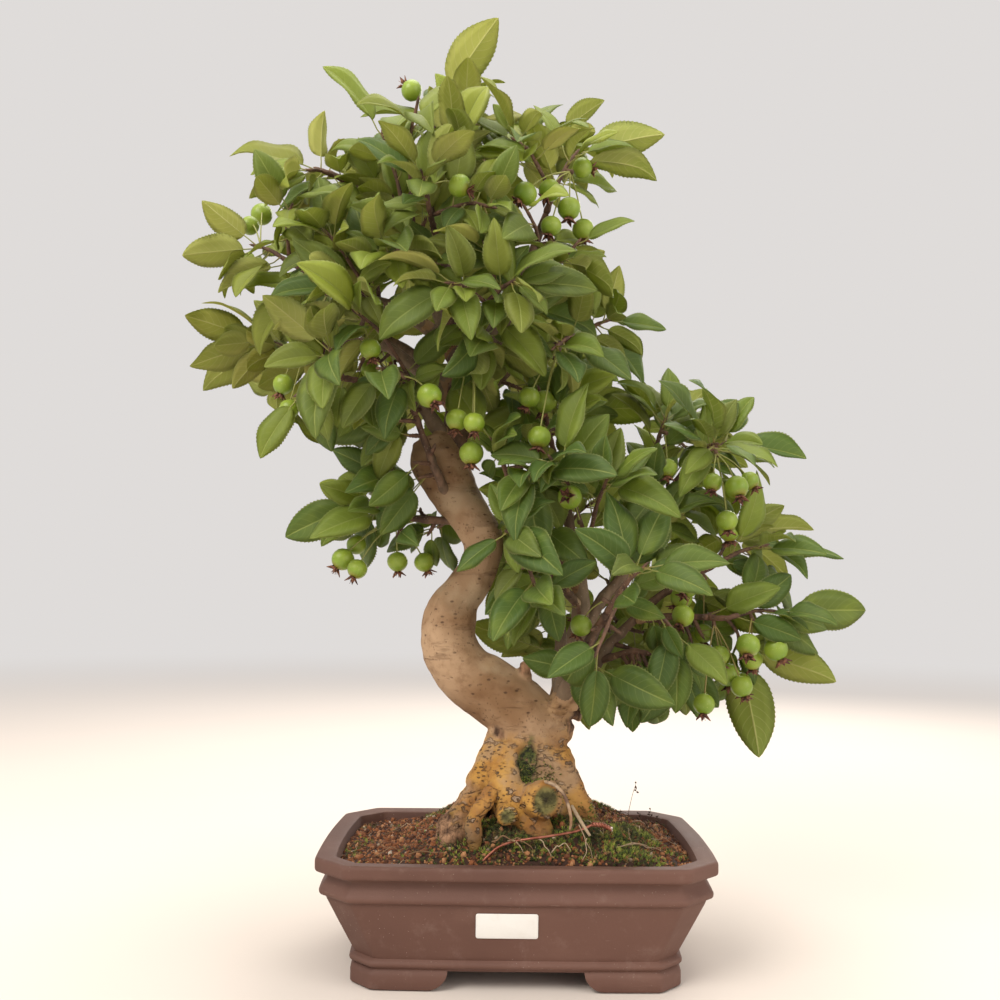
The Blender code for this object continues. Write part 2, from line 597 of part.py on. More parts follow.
    def reach_leaf(self, spray, shoot, share, aim, rng):
        """A leaf whose tip reaches a given place."""
        root, _, _ = place_along(shoot, share)
        for attempt in range(24):
            droop = rng.uniform(0.2, 0.5)
            wobble = Vector([rng.uniform(-1, 1) * 0.0015 * attempt for _ in range(3)])
            target = aim + wobble + UP * (0.22 * droop * (aim - root).length)
            reach = (target - root).length
            length = min(max(0.76 * reach, 30 * MM), 62 * MM)
            leaf = Leaf(root, (target - root).normalized(), self.to_light(root, rng), length, reach - length,
                        droop, rng.uniform(0.2, 0.4))
            if self.fits(spray, leaf):
                return

    def bud_leaf(self, spray, shoot, share, turn, lean, size, rng):
        """A leaf from a bud, turned and leaned a little further until it finds room."""
        root, _, along = place_along(shoot, share)
        for attempt in range(14):
            loose = 0.12 + 0.09 * attempt
            spin = Matrix.Rotation(turn + rng.uniform(-1, 1) * loose, 3, along)
            across = spin @ along.orthogonal().normalized()
            tilt = lean + rng.uniform(-1, 1) * loose * 0.7
            heading = along * math.cos(tilt) + across * math.sin(tilt) + self.outward(root) * 0.35 - UP * 0.12
            length = size * rng.uniform(0.9, 1.08) * (1 - 0.02 * attempt)
            leaf = Leaf(root, heading.normalized(), self.to_light(root, rng), length,
                        length * rng.uniform(0.26, 0.42), rng.uniform(0.3, 0.8), rng.uniform(0.18, 0.4))
            if not self.strays(leaf) and not self.hides(leaf) and self.fits(spray, leaf):
                return

    def grow_leaves(self):
        """The leaves that reach for the crown's outline first, then the rest, one bud after another."""
        rng = random.Random(7)
        for spray in self.sprays:
            for shoot, aims in zip(spray.shoots, spray.aims):
                for share, aim in zip(BUD_SHARES, aims):
                    self.reach_leaf(spray, shoot, share, aim, rng)
        for order, share in enumerate(BUD_SHARES):
            for spray in self.sprays:
                for number, (shoot, aims) in enumerate(zip(spray.shoots, spray.aims)):
                    if len(aims) <= order < max(SHOOT_LEAVES, len(aims) + 1):
                        turn = 2.4 * order + 1.7 * number + rng.uniform(-0.5, 0.5)
                        lean = (1.05 if order else 0.5) + rng.uniform(-0.15, 0.15)
                        size = rng.uniform(*LEAF_LENGTH) * MM
                        self.bud_leaf(spray, shoot, share, turn, lean, size, rng)


def make_material(name, colour, roughness, metallic=0.0):
    material = bpy.data.materials.new(name)
    material.use_nodes = True
    shader = material.node_tree.nodes["Principled BSDF"]
    shader.inputs["Base Color"].default_value = (*colour, 1)
    shader.inputs["Roughness"].default_value = roughness
    shader.inputs["Metallic"].default_value = metallic
    return material


def clear_scene():
    for obj in list(bpy.data.objects):
        bpy.data.objects.remove(obj)
    for name in ("crabapple_bonsai", "cutters"):
        bpy.context.scene.collection.children.link(bpy.data.collections.new(name))


def add_object(name, mesh, collection="crabapple_bonsai", material=None):
    obj = bpy.data.objects.new(name, mesh)
    bpy.data.collections[collection].objects.link(obj)
    if material:
        mesh.materials.append(material)
    if collection == "cutters":
        obj.hide_render = True
        obj.display_type = "WIRE"
    return obj


def solid_object(name, corners, faces, collection="cutters", material=None):
    """An object from a solid's corners and faces, with its faces turned outward."""
    mesh = bpy.data.meshes.new(name)
    mesh.from_pydata([tuple(corner) for corner in corners], [], faces)
    bm = bmesh.new()
    bm.from_mesh(mesh)
    bmesh.ops.recalc_face_normals(bm, faces=bm.faces)
    bm.to_mesh(mesh)
    bm.free()
    return add_object(name, mesh, collection, material)


def tube_object(name, path, resolution, collection="cutters", material=None):
    """A round tube along a path, as a mesh with its caps welded on."""
    curve = bpy.data.curves.new(name, "CURVE")
    curve.dimensions = "3D"
    curve.bevel_depth = 1.0
    curve.bevel_resolution = resolution
    curve.use_fill_caps = True
    spline = curve.splines.new("POLY")
    spline.points.add(len(path) - 1)
    for point, (place, radius) in zip(spline.points, path):
        point.co = (*place, 1)
        point.radius = radius
    guide = bpy.data.objects.new(name + "_guide", curve)
    bpy.context.scene.collection.objects.link(guide)
    graph = bpy.context.evaluated_depsgraph_get()
    mesh = bpy.data.meshes.new_from_object(guide.evaluated_get(graph))
    mesh.name = name
    bm = bmesh.new()
    bm.from_mesh(mesh)
    bmesh.ops.remove_doubles(bm, verts=bm.verts, dist=0.01 * MM)
    bmesh.ops.recalc_face_normals(bm, faces=bm.faces)
    bm.to_mesh(mesh)
    bm.free()
    obj = add_object(name, mesh, collection, material)
    obj.matrix_world = guide.matrix_world
    bpy.data.objects.remove(guide)
    return obj


def join_all(obj, others, operation="UNION"):
    """Joins others to an object, or cuts them from it, with one Boolean on a collection."""
    group = bpy.data.collections.new(obj.name + "_others")
    bpy.context.scene.collection.children.link(group)
    for other in others:
        bpy.data.collections["cutters"].objects.unlink(other)
        group.objects.link(other)
    boolean = obj.modifiers.new("join", "BOOLEAN")
    boolean.operand_type = "COLLECTION"
    boolean.collection = group
    boolean.operation = operation
    boolean.solver = "EXACT"
    graph = bpy.context.evaluated_depsgraph_get()
    joined = bpy.data.meshes.new_from_object(obj.evaluated_get(graph))
    obj.modifiers.clear()
    joined.name = obj.name
    obj.data = joined
    for other in others:
        bpy.data.objects.remove(other)
    bpy.data.collections.remove(group)


def outline(level, z, inset=0.0):
    """The pot's plan at one level: a rectangle with cut corners and slightly bowed sides, in metres."""
    half_x, half_y, cut = level
    half_x, half_y, cut = half_x - inset, half_y - inset, cut - 0.45 * inset
    bow_x, bow_y = half_x + SIDE_BOW, half_y + 0.6 * SIDE_BOW
    quarter = [(half_x, half_y - cut), (half_x - cut, half_y)]
    points = [(bow_x, 0)] + quarter + [(0, bow_y)]
    points += [(-x, y) for x, y in reversed(quarter)] + [(-bow_x, 0)]
    points += [(-x, -y) for x, y in quarter] + [(0, -bow_y)] + [(x, -y) for x, y in reversed(quarter)]
    return [mm((x, y, z)) for x, y in points]


def raise_rings(name, rings, material):
    """A solid raised from its bottom face: the face is extruded to each next ring in turn."""
    bm = bmesh.new()
    face = bm.faces.new([bm.verts.new(point) for point in rings[0]])
    for near, far in zip(rings, rings[1:]):
        raised = bmesh.ops.extrude_face_region(bm, geom=[face])["geom"]
        if near is not rings[0]:
            bmesh.ops.delete(bm, geom=[face], context="FACES_ONLY")
        face = [item for item in raised if isinstance(item, bmesh.types.BMFace)][0]
        for vert in face.verts:
            nearest = min(range(len(near)), key=lambda i: (vert.co - near[i]).length)
            vert.co = far[nearest]
    bmesh.ops.recalc_face_normals(bm, faces=bm.faces)
    mesh = bpy.data.meshes.new(name)
    bm.to_mesh(mesh)
    bm.free()
    return add_object(name, mesh, material=material)


def block(name, low, high):
    """A box cutter between two corners, in millimetres."""
    bm = bmesh.new()
    bmesh.ops.create_cube(bm, size=1)
    for vert in bm.verts:
        vert.co = mm([low[k] + (vert.co[k] + 0.5) * (high[k] - low[k]) for k in range(3)])
    mesh = bpy.data.meshes.new(name)
    bm.to_mesh(mesh)
    bm.free()
    return add_object(name, mesh, "cutters")


def foot_gap(name, half, reach, turned):
    """The gap between two feet: a low arch whose ends round over the feet."""
    arc = [(half + FOOT_ROUND * (1 - math.sin(a)), FOOT_HEIGHT * (1 - math.cos(a)))
           for a in (0.0, 0.55, 1.05, math.pi / 2)]
    wide = half + FOOT_ROUND
    profile = [(wide, -1.0)] + arc + [(-x, z) for x, z in reversed(arc)] + [(-wide, -1.0)]
    corners = []
    for end in (-reach, reach):
        corners += [mm((x, end, z) if not turned else (end, x, z)) for x, z in profile]
    n = len(profile)
    faces = [tuple(range(n)), tuple(range(n, 2 * n))]
    faces += [(i, (i + 1) % n, n + (i + 1) % n, n + i) for i in range(n)]
    return solid_object(name, corners, faces)


def build_pot():
    clay = make_material("pot_clay", (0.125, 0.062, 0.052), 0.62)
    levels = (
        (FOOT_LEVEL, 0), (FOOT_LEVEL, 9), (WALL_FOOT_LEVEL, 12.5), (MOULDING_LEVEL, 14), (MOULDING_LEVEL, 17),
        (WALL_FOOT_LEVEL, WALL_FOOT), (WALL_TOP_LEVEL, WALL_TOP), (BAND_LEVEL, 55.5), (BAND_LEVEL, 59), (NECK_LEVEL, 65),
        (NECK_LEVEL, 68), (LIP_LEVEL, 69.5), (LIP_LEVEL, 76.5),
    )
    rings = [outline(level, z) for level, z in levels]
    rings.append(outline(LIP_LEVEL, POT_HEIGHT, 1.5))
    rings.append(outline(LIP_LEVEL, POT_HEIGHT - 0.6, LIP_WIDTH))
    rings.append(outline(WALL_TOP_LEVEL, INNER_KNEE, POT_WALL))
    rings.append(outline(WALL_FOOT_LEVEL, POT_FLOOR, POT_WALL))
    pot = raise_rings("pot", rings, clay)
    half_x, half_y, _ = FOOT_LEVEL
    inside = (half_x - FOOT_DEPTH, half_y - FOOT_DEPTH)
    cutters = [
        block("under_pot", (-inside[0], -inside[1], -1), (inside[0], inside[1], FOOT_HEIGHT)),
        foot_gap("front_gap", FOOT_GAP_LONG, half_y + 9, False),
        foot_gap("side_gap", FOOT_GAP_SHORT, half_x + 9, True),
    ]
    for x in (-DRAIN_SPREAD, DRAIN_SPREAD):
        drain = [(mm((x, 0, FOOT_HEIGHT - 4)), DRAIN_RADIUS * MM), (mm((x, 0, POT_FLOOR + 3)), DRAIN_RADIUS * MM)]
        cutters.append(tube_object("drain", drain, 2))
    join_all(pot, cutters, "DIFFERENCE")


def soil_height(x, y):
    """The soil's surface, in millimetres: nearly level at the wall, mounded round the roots."""
    across = ((x - MOUND_CENTRE[0]) / MOUND_HALF[0]) ** 4 + ((y - MOUND_CENTRE[1]) / MOUND_HALF[1]) ** 4
    return SOIL_EDGE + MOUND_RISE * math.exp(-across)


def build_soil(growth):
    brown = make_material("soil_grains", (0.13, 0.055, 0.025), 0.95)
    low = outline(WALL_TOP_LEVEL, INNER_KNEE, POT_WALL + 0.6)
    high = outline(LIP_LEVEL, POT_HEIGHT, LIP_WIDTH + 0.6)
    share = (SOIL_EDGE - INNER_KNEE) / (POT_HEIGHT - INNER_KNEE)
    edge = [near.lerp(far, share) for near, far in zip(low, high)]
    rings = [outline(WALL_FOOT_LEVEL, POT_FLOOR + 0.4, POT_WALL + 0.6), low]
    for share in (1.0, 0.84, 0.64, 0.4):
        ring = [point * share for point in edge]
        rings.append([mm((p.x / MM, p.y / MM, soil_height(p.x / MM, p.y / MM))) for p in ring])
    soil = raise_rings("soil", rings, brown)
    sockets = []
    for name, path in growth.wood.items():
        if name == "trunk" or name.startswith("root_"):
            wide = [(point, radius + SOCKET_GAP * MM) for point, radius in path]
            ahead = (wide[0][0] - wide[1][0]).normalized() * (SOCKET_GAP * MM)
            past = (wide[-1][0] - wide[-2][0]).normalized() * (SOCKET_GAP * MM)
            wide[0] = (wide[0][0] + ahead, wide[0][1])
            wide[-1] = (wide[-1][0] + past, wide[-1][1])
            sockets.append(tube_object("socket", wide, 4 if name == "trunk" else 1))
    hole = [point for point, _ in wire_path()[:5]]
    hole[0] += (hole[0] - hole[1]).normalized() * (SOCKET_GAP * MM)
    sockets.append(tube_object("wire_hole", [(point, (WIRE_RADIUS + 1.3 * SOCKET_GAP) * MM) for point in hole], 1))
    join_all(soil, sockets, "DIFFERENCE")


def build_wood(growth):
    bark = make_material("bark", (0.27, 0.185, 0.105), 0.8)
    trunk = tube_object("wood", growth.wood["trunk"], 4, "crabapple_bonsai", bark)
    others = [tube_object(name, path, 1 if path[0][1] > THIN_BRANCH * MM else 0)
              for name, path in growth.wood.items() if name != "trunk"]
    join_all(trunk, others)


def wire_path():
    """The tie wire's path, dipping into the soil at its left end."""
    return smooth([(*point, WIRE_RADIUS) for point in WIRE], 1)


def build_wire():
    copper = make_material("copper", (0.36, 0.14, 0.09), 0.35, 0.9)
    wire = tube_object("tie_wire", wire_path(), 1, "crabapple_bonsai", copper)
    start, middle, end = (mm(point) for point in WIRE_END)
    strands = []
    for strand in range(2):
        twist = []
        for step in range(7):
            t = step / 6
            centre = start.lerp(middle, min(2 * t, 1)) if t < 0.5 else middle.lerp(end, 2 * t - 1)
            axis = (end - start).normalized()
            turn = 2 * math.pi * (WIRE_TURNS * t + 0.5 * strand)
            side = axis.orthogonal().normalized()
            offset = (side * math.cos(turn) + axis.cross(side) * math.sin(turn)) * (STRAND_OFFSET * WIRE_RADIUS * MM)
            twist.append((centre + offset, WIRE_RADIUS * MM))
        strands.append(tube_object("strand", twist, 1))
    join_all(wire, strands)


def build_label():
    paper = make_material("label_paper", (0.82, 0.8, 0.76), 0.55)
    width, height, thick = LABEL_SIZE
    bm = bmesh.new()
    bmesh.ops.create_cube(bm, size=1)
    bmesh.ops.scale(bm, vec=(width * MM, thick * MM, height * MM), verts=bm.verts)
    rise = WALL_TOP - WALL_FOOT
    flare = WALL_TOP_LEVEL[1] - WALL_FOOT_LEVEL[1]
    lean = math.atan2(flare, rise)
    bmesh.ops.rotate(bm, matrix=Matrix.Rotation(lean, 3, "X"), verts=bm.verts)
    x, z = LABEL_CENTRE
    wall = WALL_FOOT_LEVEL[1] + flare * (z - WALL_FOOT) / rise + 0.6 * SIDE_BOW
    front = -(wall + thick / 2 + 0.35)
    bmesh.ops.translate(bm, vec=mm((x, front, z)), verts=bm.verts)
    mesh = bpy.data.meshes.new("label")
    bm.to_mesh(mesh)
    bm.free()
    add_object("label", mesh, material=paper)


def build_sprays(growth):
    green = make_material("leaf_green", (0.085, 0.16, 0.028), 0.5)
    for spray in growth.sprays:
        first, *forks = spray.shoots
        twig = tube_object(spray.name, first, 0, "crabapple_bonsai", green)
        others = [tube_object("fork", path, 0) for path in forks]
        others += [solid_object("leaf", *leaf.solid()) for leaf in spray.leaves]
        join_all(twig, others)


def build_bunches(growth):
    apple_green = make_material("apple_green", (0.33, 0.47, 0.07), 0.35)
    for bunch in growth.bunches:
        spur = tube_object(bunch.name, bunch.knob, 0, "crabapple_bonsai", apple_green)
        apples = [solid_object("apple", *loft(apple_rings(*apple))) for apple in bunch.apples]
        join_all(spur, apples)


def main():
    clear_scene()
    growth = Growth()
    growth.grow_leaves()
    build_pot()
    build_soil(growth)
    build_wood(growth)
    build_wire()
    build_label()
    build_sprays(growth)
    build_bunches(growth)
    bpy.data.collections["cutters"].hide_render = True


main()
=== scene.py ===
"""The looks of the hall crabapple bonsai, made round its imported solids.

Metres, +Z up, in the solids' own frame. The tables of the tree are in millimetres, as the solids' source has
them, and the tree is grown here by the same rules, so each leaf and apple stands where its solid stands. More
leaves, bark, moss and soil are then added.
"""

import json
import math
import random

import bmesh
import bpy
import numpy as np
from mathutils import Matrix, Vector, noise
from mathutils.bvhtree import BVHTree

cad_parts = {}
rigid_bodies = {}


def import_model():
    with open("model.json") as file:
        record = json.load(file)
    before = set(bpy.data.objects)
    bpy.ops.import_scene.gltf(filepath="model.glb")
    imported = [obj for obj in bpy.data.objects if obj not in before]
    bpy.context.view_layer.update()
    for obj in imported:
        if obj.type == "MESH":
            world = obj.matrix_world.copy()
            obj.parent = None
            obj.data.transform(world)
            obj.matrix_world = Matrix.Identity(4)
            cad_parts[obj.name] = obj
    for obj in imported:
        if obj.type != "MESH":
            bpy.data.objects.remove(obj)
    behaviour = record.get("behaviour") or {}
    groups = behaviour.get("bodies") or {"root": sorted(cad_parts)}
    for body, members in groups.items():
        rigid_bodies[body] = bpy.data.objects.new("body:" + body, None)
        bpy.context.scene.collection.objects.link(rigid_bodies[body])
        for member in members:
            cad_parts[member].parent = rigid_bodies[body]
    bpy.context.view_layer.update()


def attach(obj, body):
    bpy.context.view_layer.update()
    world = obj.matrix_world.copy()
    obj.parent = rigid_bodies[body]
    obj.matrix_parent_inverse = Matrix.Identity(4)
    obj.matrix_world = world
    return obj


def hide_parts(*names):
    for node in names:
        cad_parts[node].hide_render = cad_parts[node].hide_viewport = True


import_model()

# Camera: where it stands in millimetres, how it is turned in degrees, and its lens on a 36 mm sensor
CAMERA_PLACE = (-13, -760, 250)
CAMERA_YAW = -0.03
CAMERA_PITCH = 4.94
CAMERA_ROLL = 0.65
CAMERA_LENS = 37.8

# Every place in the tables is in millimetres
MM = 0.001
GAP = 0.3 * MM
UP = Vector((0, 0, 1))

# Pot, in millimetres: half length, half width and cut corner of each level of its outer wall, bottom to top
FOOT_LEVEL = (106, 79, 14.5)
MOULDING_LEVEL = (106.8, 79.4, 15)
WALL_FOOT_LEVEL = (104.5, 77.5, 15)
WALL_TOP_LEVEL = (122.8, 85.2, 19.5)
BAND_LEVEL = (127, 88, 21)
NECK_LEVEL = (122.5, 84, 19.5)
LIP_LEVEL = (130, 90, 22)
POT_HEIGHT = 78
WALL_FOOT = 19.5
WALL_TOP = 53
FOOT_HEIGHT = 12
POT_WALL = 9
LIP_WIDTH = 13
POT_FLOOR = 20
INNER_KNEE = 54
SIDE_BOW = 2.5
FOOT_GAP_LONG = 43
FOOT_GAP_SHORT = 30
FOOT_ROUND = 15
FOOT_DEPTH = 17
DRAIN_RADIUS = 9
DRAIN_SPREAD = 52

# Soil: its height at the pot's wall, and the mound round the roots
SOIL_EDGE = 71
MOUND_RISE = 26
MOUND_CENTRE = (12, 0)
MOUND_HALF = (76, 70)

# Label and tie wire
LABEL_SIZE = (39, 16.5, 0.4)
LABEL_CENTRE = (-6, 41.5)
WIRE_RADIUS = 0.85

# Leaves and apples
BLADE_THICKNESS = 0.7
STALK_RADIUS = 0.55
BROAD = 0.56
LEAF_LENGTH = (36, 52)
LONG_BLADE = 57
APPLE_RADIUS = (6.8, 8.5)
BUD_SHARES = (0.985, 0.86, 0.74, 0.6)
SHOOT_LEAVES = 3
LEAF_LIMITS = ((-252, -140, 105), (250, 140, 677))
CROWN_HEARTS = ((-60, 0, 455), (80, 0, 265))

# Where the tree's front is looked at from: no leaf that has a choice hides an apple or the bare trunk from it
EYE = (-13, -760, 250)
BARE_HEIGHTS = (150, 368)
SIGHT_MARGIN = 3.5
SIGHT_STEPS = (0.1, 0.35, 0.6, 0.85)
SIGHT_LEAF_SHARE = 0.6
OUTLINE_STEPS = (0.55, 1.0)
HIGH_CROWN = 400
TURNED_AWAY = 0.42

# The crown's outline as that eye sees it, across and up on the upright plane through the pot's middle
CROWN_OUTLINE = (
    (-22, 680), (-40, 642), (-15, 627), (-26, 603), (6, 614), (28, 621), (55, 603), (100, 583),
    (97, 574), (67, 567), (94, 554), (94, 541), (62, 536), (60, 510), (72, 479), (79, 451), (109, 428),
    (88, 416), (125, 419), (162, 394), (167, 371), (189, 356), (211, 339), (202, 318), (213, 298),
    (239, 269), (210, 257), (252, 225), (222, 203), (227, 176), (191, 182), (182, 120), (156, 149),
    (140, 163), (131, 174), (124, 149), (105, 138), (85, 140), (71, 155), (54, 145), (42, 173),
    (17, 192), (-12, 201), (-36, 155), (-46, 156), (-50, 179), (-84, 205), (-64, 243), (-86, 248),
    (-119, 241), (-137, 259), (-130, 277), (-172, 280), (-146, 332), (-122, 341), (-151, 354),
    (-172, 365), (-183, 381), (-183, 398), (-224, 393), (-251, 401), (-238, 424), (-254, 442),
    (-234, 467), (-236, 492), (-212, 507), (-239, 527), (-240, 548), (-213, 552), (-211, 576),
    (-190, 578), (-161, 555), (-133, 560), (-157, 585), (-129, 590), (-112, 584), (-92, 602),
    (-128, 607), (-125, 619), (-77, 623), (-71, 642), (-58, 645),
)

# Wood: every tube's centre line and radius, each starting inside what it grows from
TRUNK = (
    (4, 0, 64, 36), (7, -1, 86, 38), (8, -2, 106, 37), (8, -3, 126, 33), (8, -3, 145, 27.5),
    (2, -4, 163, 25), (-16, -6, 178, 23), (-36, -8, 191, 21.5), (-47, -9, 208, 20.5), (-49, -9, 224, 19.8),
    (-45, -8, 238, 18), (-37, -6, 251, 15.5), (-29, -4, 265, 14), (-25, -2, 284, 14.6), (-33, 0, 300, 15),
    (-44, 0, 316, 17), (-53, 0, 332, 19.5), (-60, 0, 348, 20), (-65, 0, 361, 14),
)
ROOTS = {
    "burl": ((12, -2, 126, 24), (16, -3, 146, 20), (20, -4, 160, 21), (23, -4, 173, 15)),
    "left": (
        (-10, -12, 147, 11), (-18, -22, 128, 12), (-24, -28, 115, 11), (-30, -34, 103, 10),
        (-43, -44, 88, 10), (-50, -48, 68, 6),
    ),
    "left_knob": ((-32, -38, 98, 9), (-42, -50, 88, 8), (-49, -55, 72, 5)),
    "front": ((-4, -20, 140, 12), (-8, -34, 122, 13), (0, -42, 109, 13), (10, -48, 96, 12), (20, -54, 76, 8)),
    "big_stub": ((6, -34, 110, 11), (12, -48, 113, 12), (19, -61, 114, 12.5)),
    "small_stub": ((-9, -40, 106, 7), (-6, -63, 104, 6)),
    "arch": (
        (-14, -42, 120, 5), (-21, -54, 112, 5.2), (-28, -62, 101, 5), (-27, -64, 90, 4.6), (-25, -62, 74, 4),
    ),
    "right": (
        (21, -8, 147, 11), (26, -14, 136, 12), (33, -18, 119, 12), (44, -22, 102, 9), (53, -26, 88, 7),
        (62, -30, 70, 5),
    ),
    "right_low": ((26, 4, 128, 11), (36, 8, 112, 9), (47, 12, 94, 7), (58, 15, 68, 5)),
    "left_low": ((-16, 2, 126, 11), (-26, 8, 110, 9), (-37, 12, 92, 7), (-48, 14, 68, 5)),
    "back_left": ((-6, 16, 140, 12), (-16, 28, 118, 13), (-28, 38, 99, 10), (-42, 48, 70, 6)),
    "back": ((6, 22, 132, 12), (8, 38, 108, 11), (10, 50, 92, 8), (12, 62, 68, 5)),
    "back_right": ((20, 12, 141, 11), (30, 24, 119, 12), (40, 36, 99, 10), (52, 48, 70, 6)),
}
BRANCHES = {
    "leader": (
        (-50, 0, 330, 14), (-43, 8, 388, 10.5), (-47, 12, 434, 8), (-54, 5, 473, 6.2), (-60, -4, 512, 4.4),
        (-67, 0, 553, 2.6),
    ),
    "left_low": ((-52, 0, 356, 6), (-80, -22, 392, 3.6), (-112, -45, 393, 2.2)),
    "left_mid": ((-48, 10, 430, 6), (-87, -20, 450, 4.5), (-127, -30, 461, 3.2), (-158, -22, 479, 2)),
    "left_far": ((-46, 6, 384, 6), (-98, 22, 432, 4), (-138, 30, 437, 3), (-166, 26, 432, 2)),
    "right_up": ((-42, 8, 384, 7.5), (-15, -15, 437, 5), (4, -28, 480, 3.6), (17, -32, 518, 2.2)),
    "right_mid": ((-42, 5, 378, 6), (-2, -4, 416, 3.6), (32, -10, 430, 2.2)),
    "back_up": ((-48, 10, 422, 6.5), (-70, 48, 482, 4), (-87, 76, 524, 2.2)),
    "back_right": ((-42, 8, 390, 6.5), (-23, 44, 450, 4), (4, 70, 486, 2.2)),
    "back_left": ((-48, 6, 400, 6), (-84, 44, 434, 3.8), (-120, 70, 458, 2.2)),
    "front_up": ((-53, 5, 460, 5), (-55, -38, 477, 3.2), (-60, -70, 493, 2)),
    "front_mid": ((-46, 8, 405, 5), (-34, -38, 428, 3), (-26, -70, 436, 2)),
    "upper_left": ((-57, 0, 488, 5), (-88, -16, 519, 3.2), (-116, -20, 537, 2)),
    "upper_right": ((-60, -4, 508, 4.6), (-35, 12, 552, 3), (-10, 22, 578, 2)),
    "thin_front": ((-50, -10, 316, 3.6), (-60, -27, 337, 3), (-73, -36, 371, 2)),
    "riser": (
        (30, -5, 164, 8), (41, -10, 214, 6.4), (45, -12, 244, 5.8), (40, -15, 272, 4.8), (33, -15, 314, 3.4),
        (25, -12, 348, 2.1),
    ),
    "middle": (
        (41, -10, 210, 5), (60, 0, 243, 4.2), (79, 5, 266, 3.8), (93, 1, 308, 3.2), (97, -4, 340, 2.1),
    ),
    "upper_fork": ((92, 1, 300, 3), (112, -9, 328, 2.2)),
    "long": ((40, 2, 160, 5), (61, 10, 203, 4.2), (79, 15, 223, 3.4), (104, 12, 247, 2.9), (130, 1, 263, 2)),
    "lower": ((88, 14, 230, 2.8), (112, -4, 233, 2.4), (134, -18, 233, 2)),
    "low_side": ((60, 9, 200, 2.8), (80, 1, 207, 2.3), (92, -4, 207, 1.9)),
    "back_low": ((33, 8, 164, 6), (56, 48, 211, 4), (76, 72, 236, 2.2)),
    "front_low": ((28, -16, 166, 5.5), (44, -48, 210, 3.6), (57, -70, 236, 2.1)),
    "back_rise": ((30, 10, 168, 6), (34, 46, 226, 3.8), (29, 68, 264, 2.2)),
    "vee": ((44, -12, 248, 3.4), (20, -34, 290, 2.8), (2, -40, 312, 2)),
    "front_left": ((45, -12, 238, 3.2), (22, -44, 262, 2.4), (8, -60, 276, 2)),
    "tuft": ((-34, 0, 301, 3.4), (-62, -4, 300, 2.6), (-82, -8, 302, 2)),
}

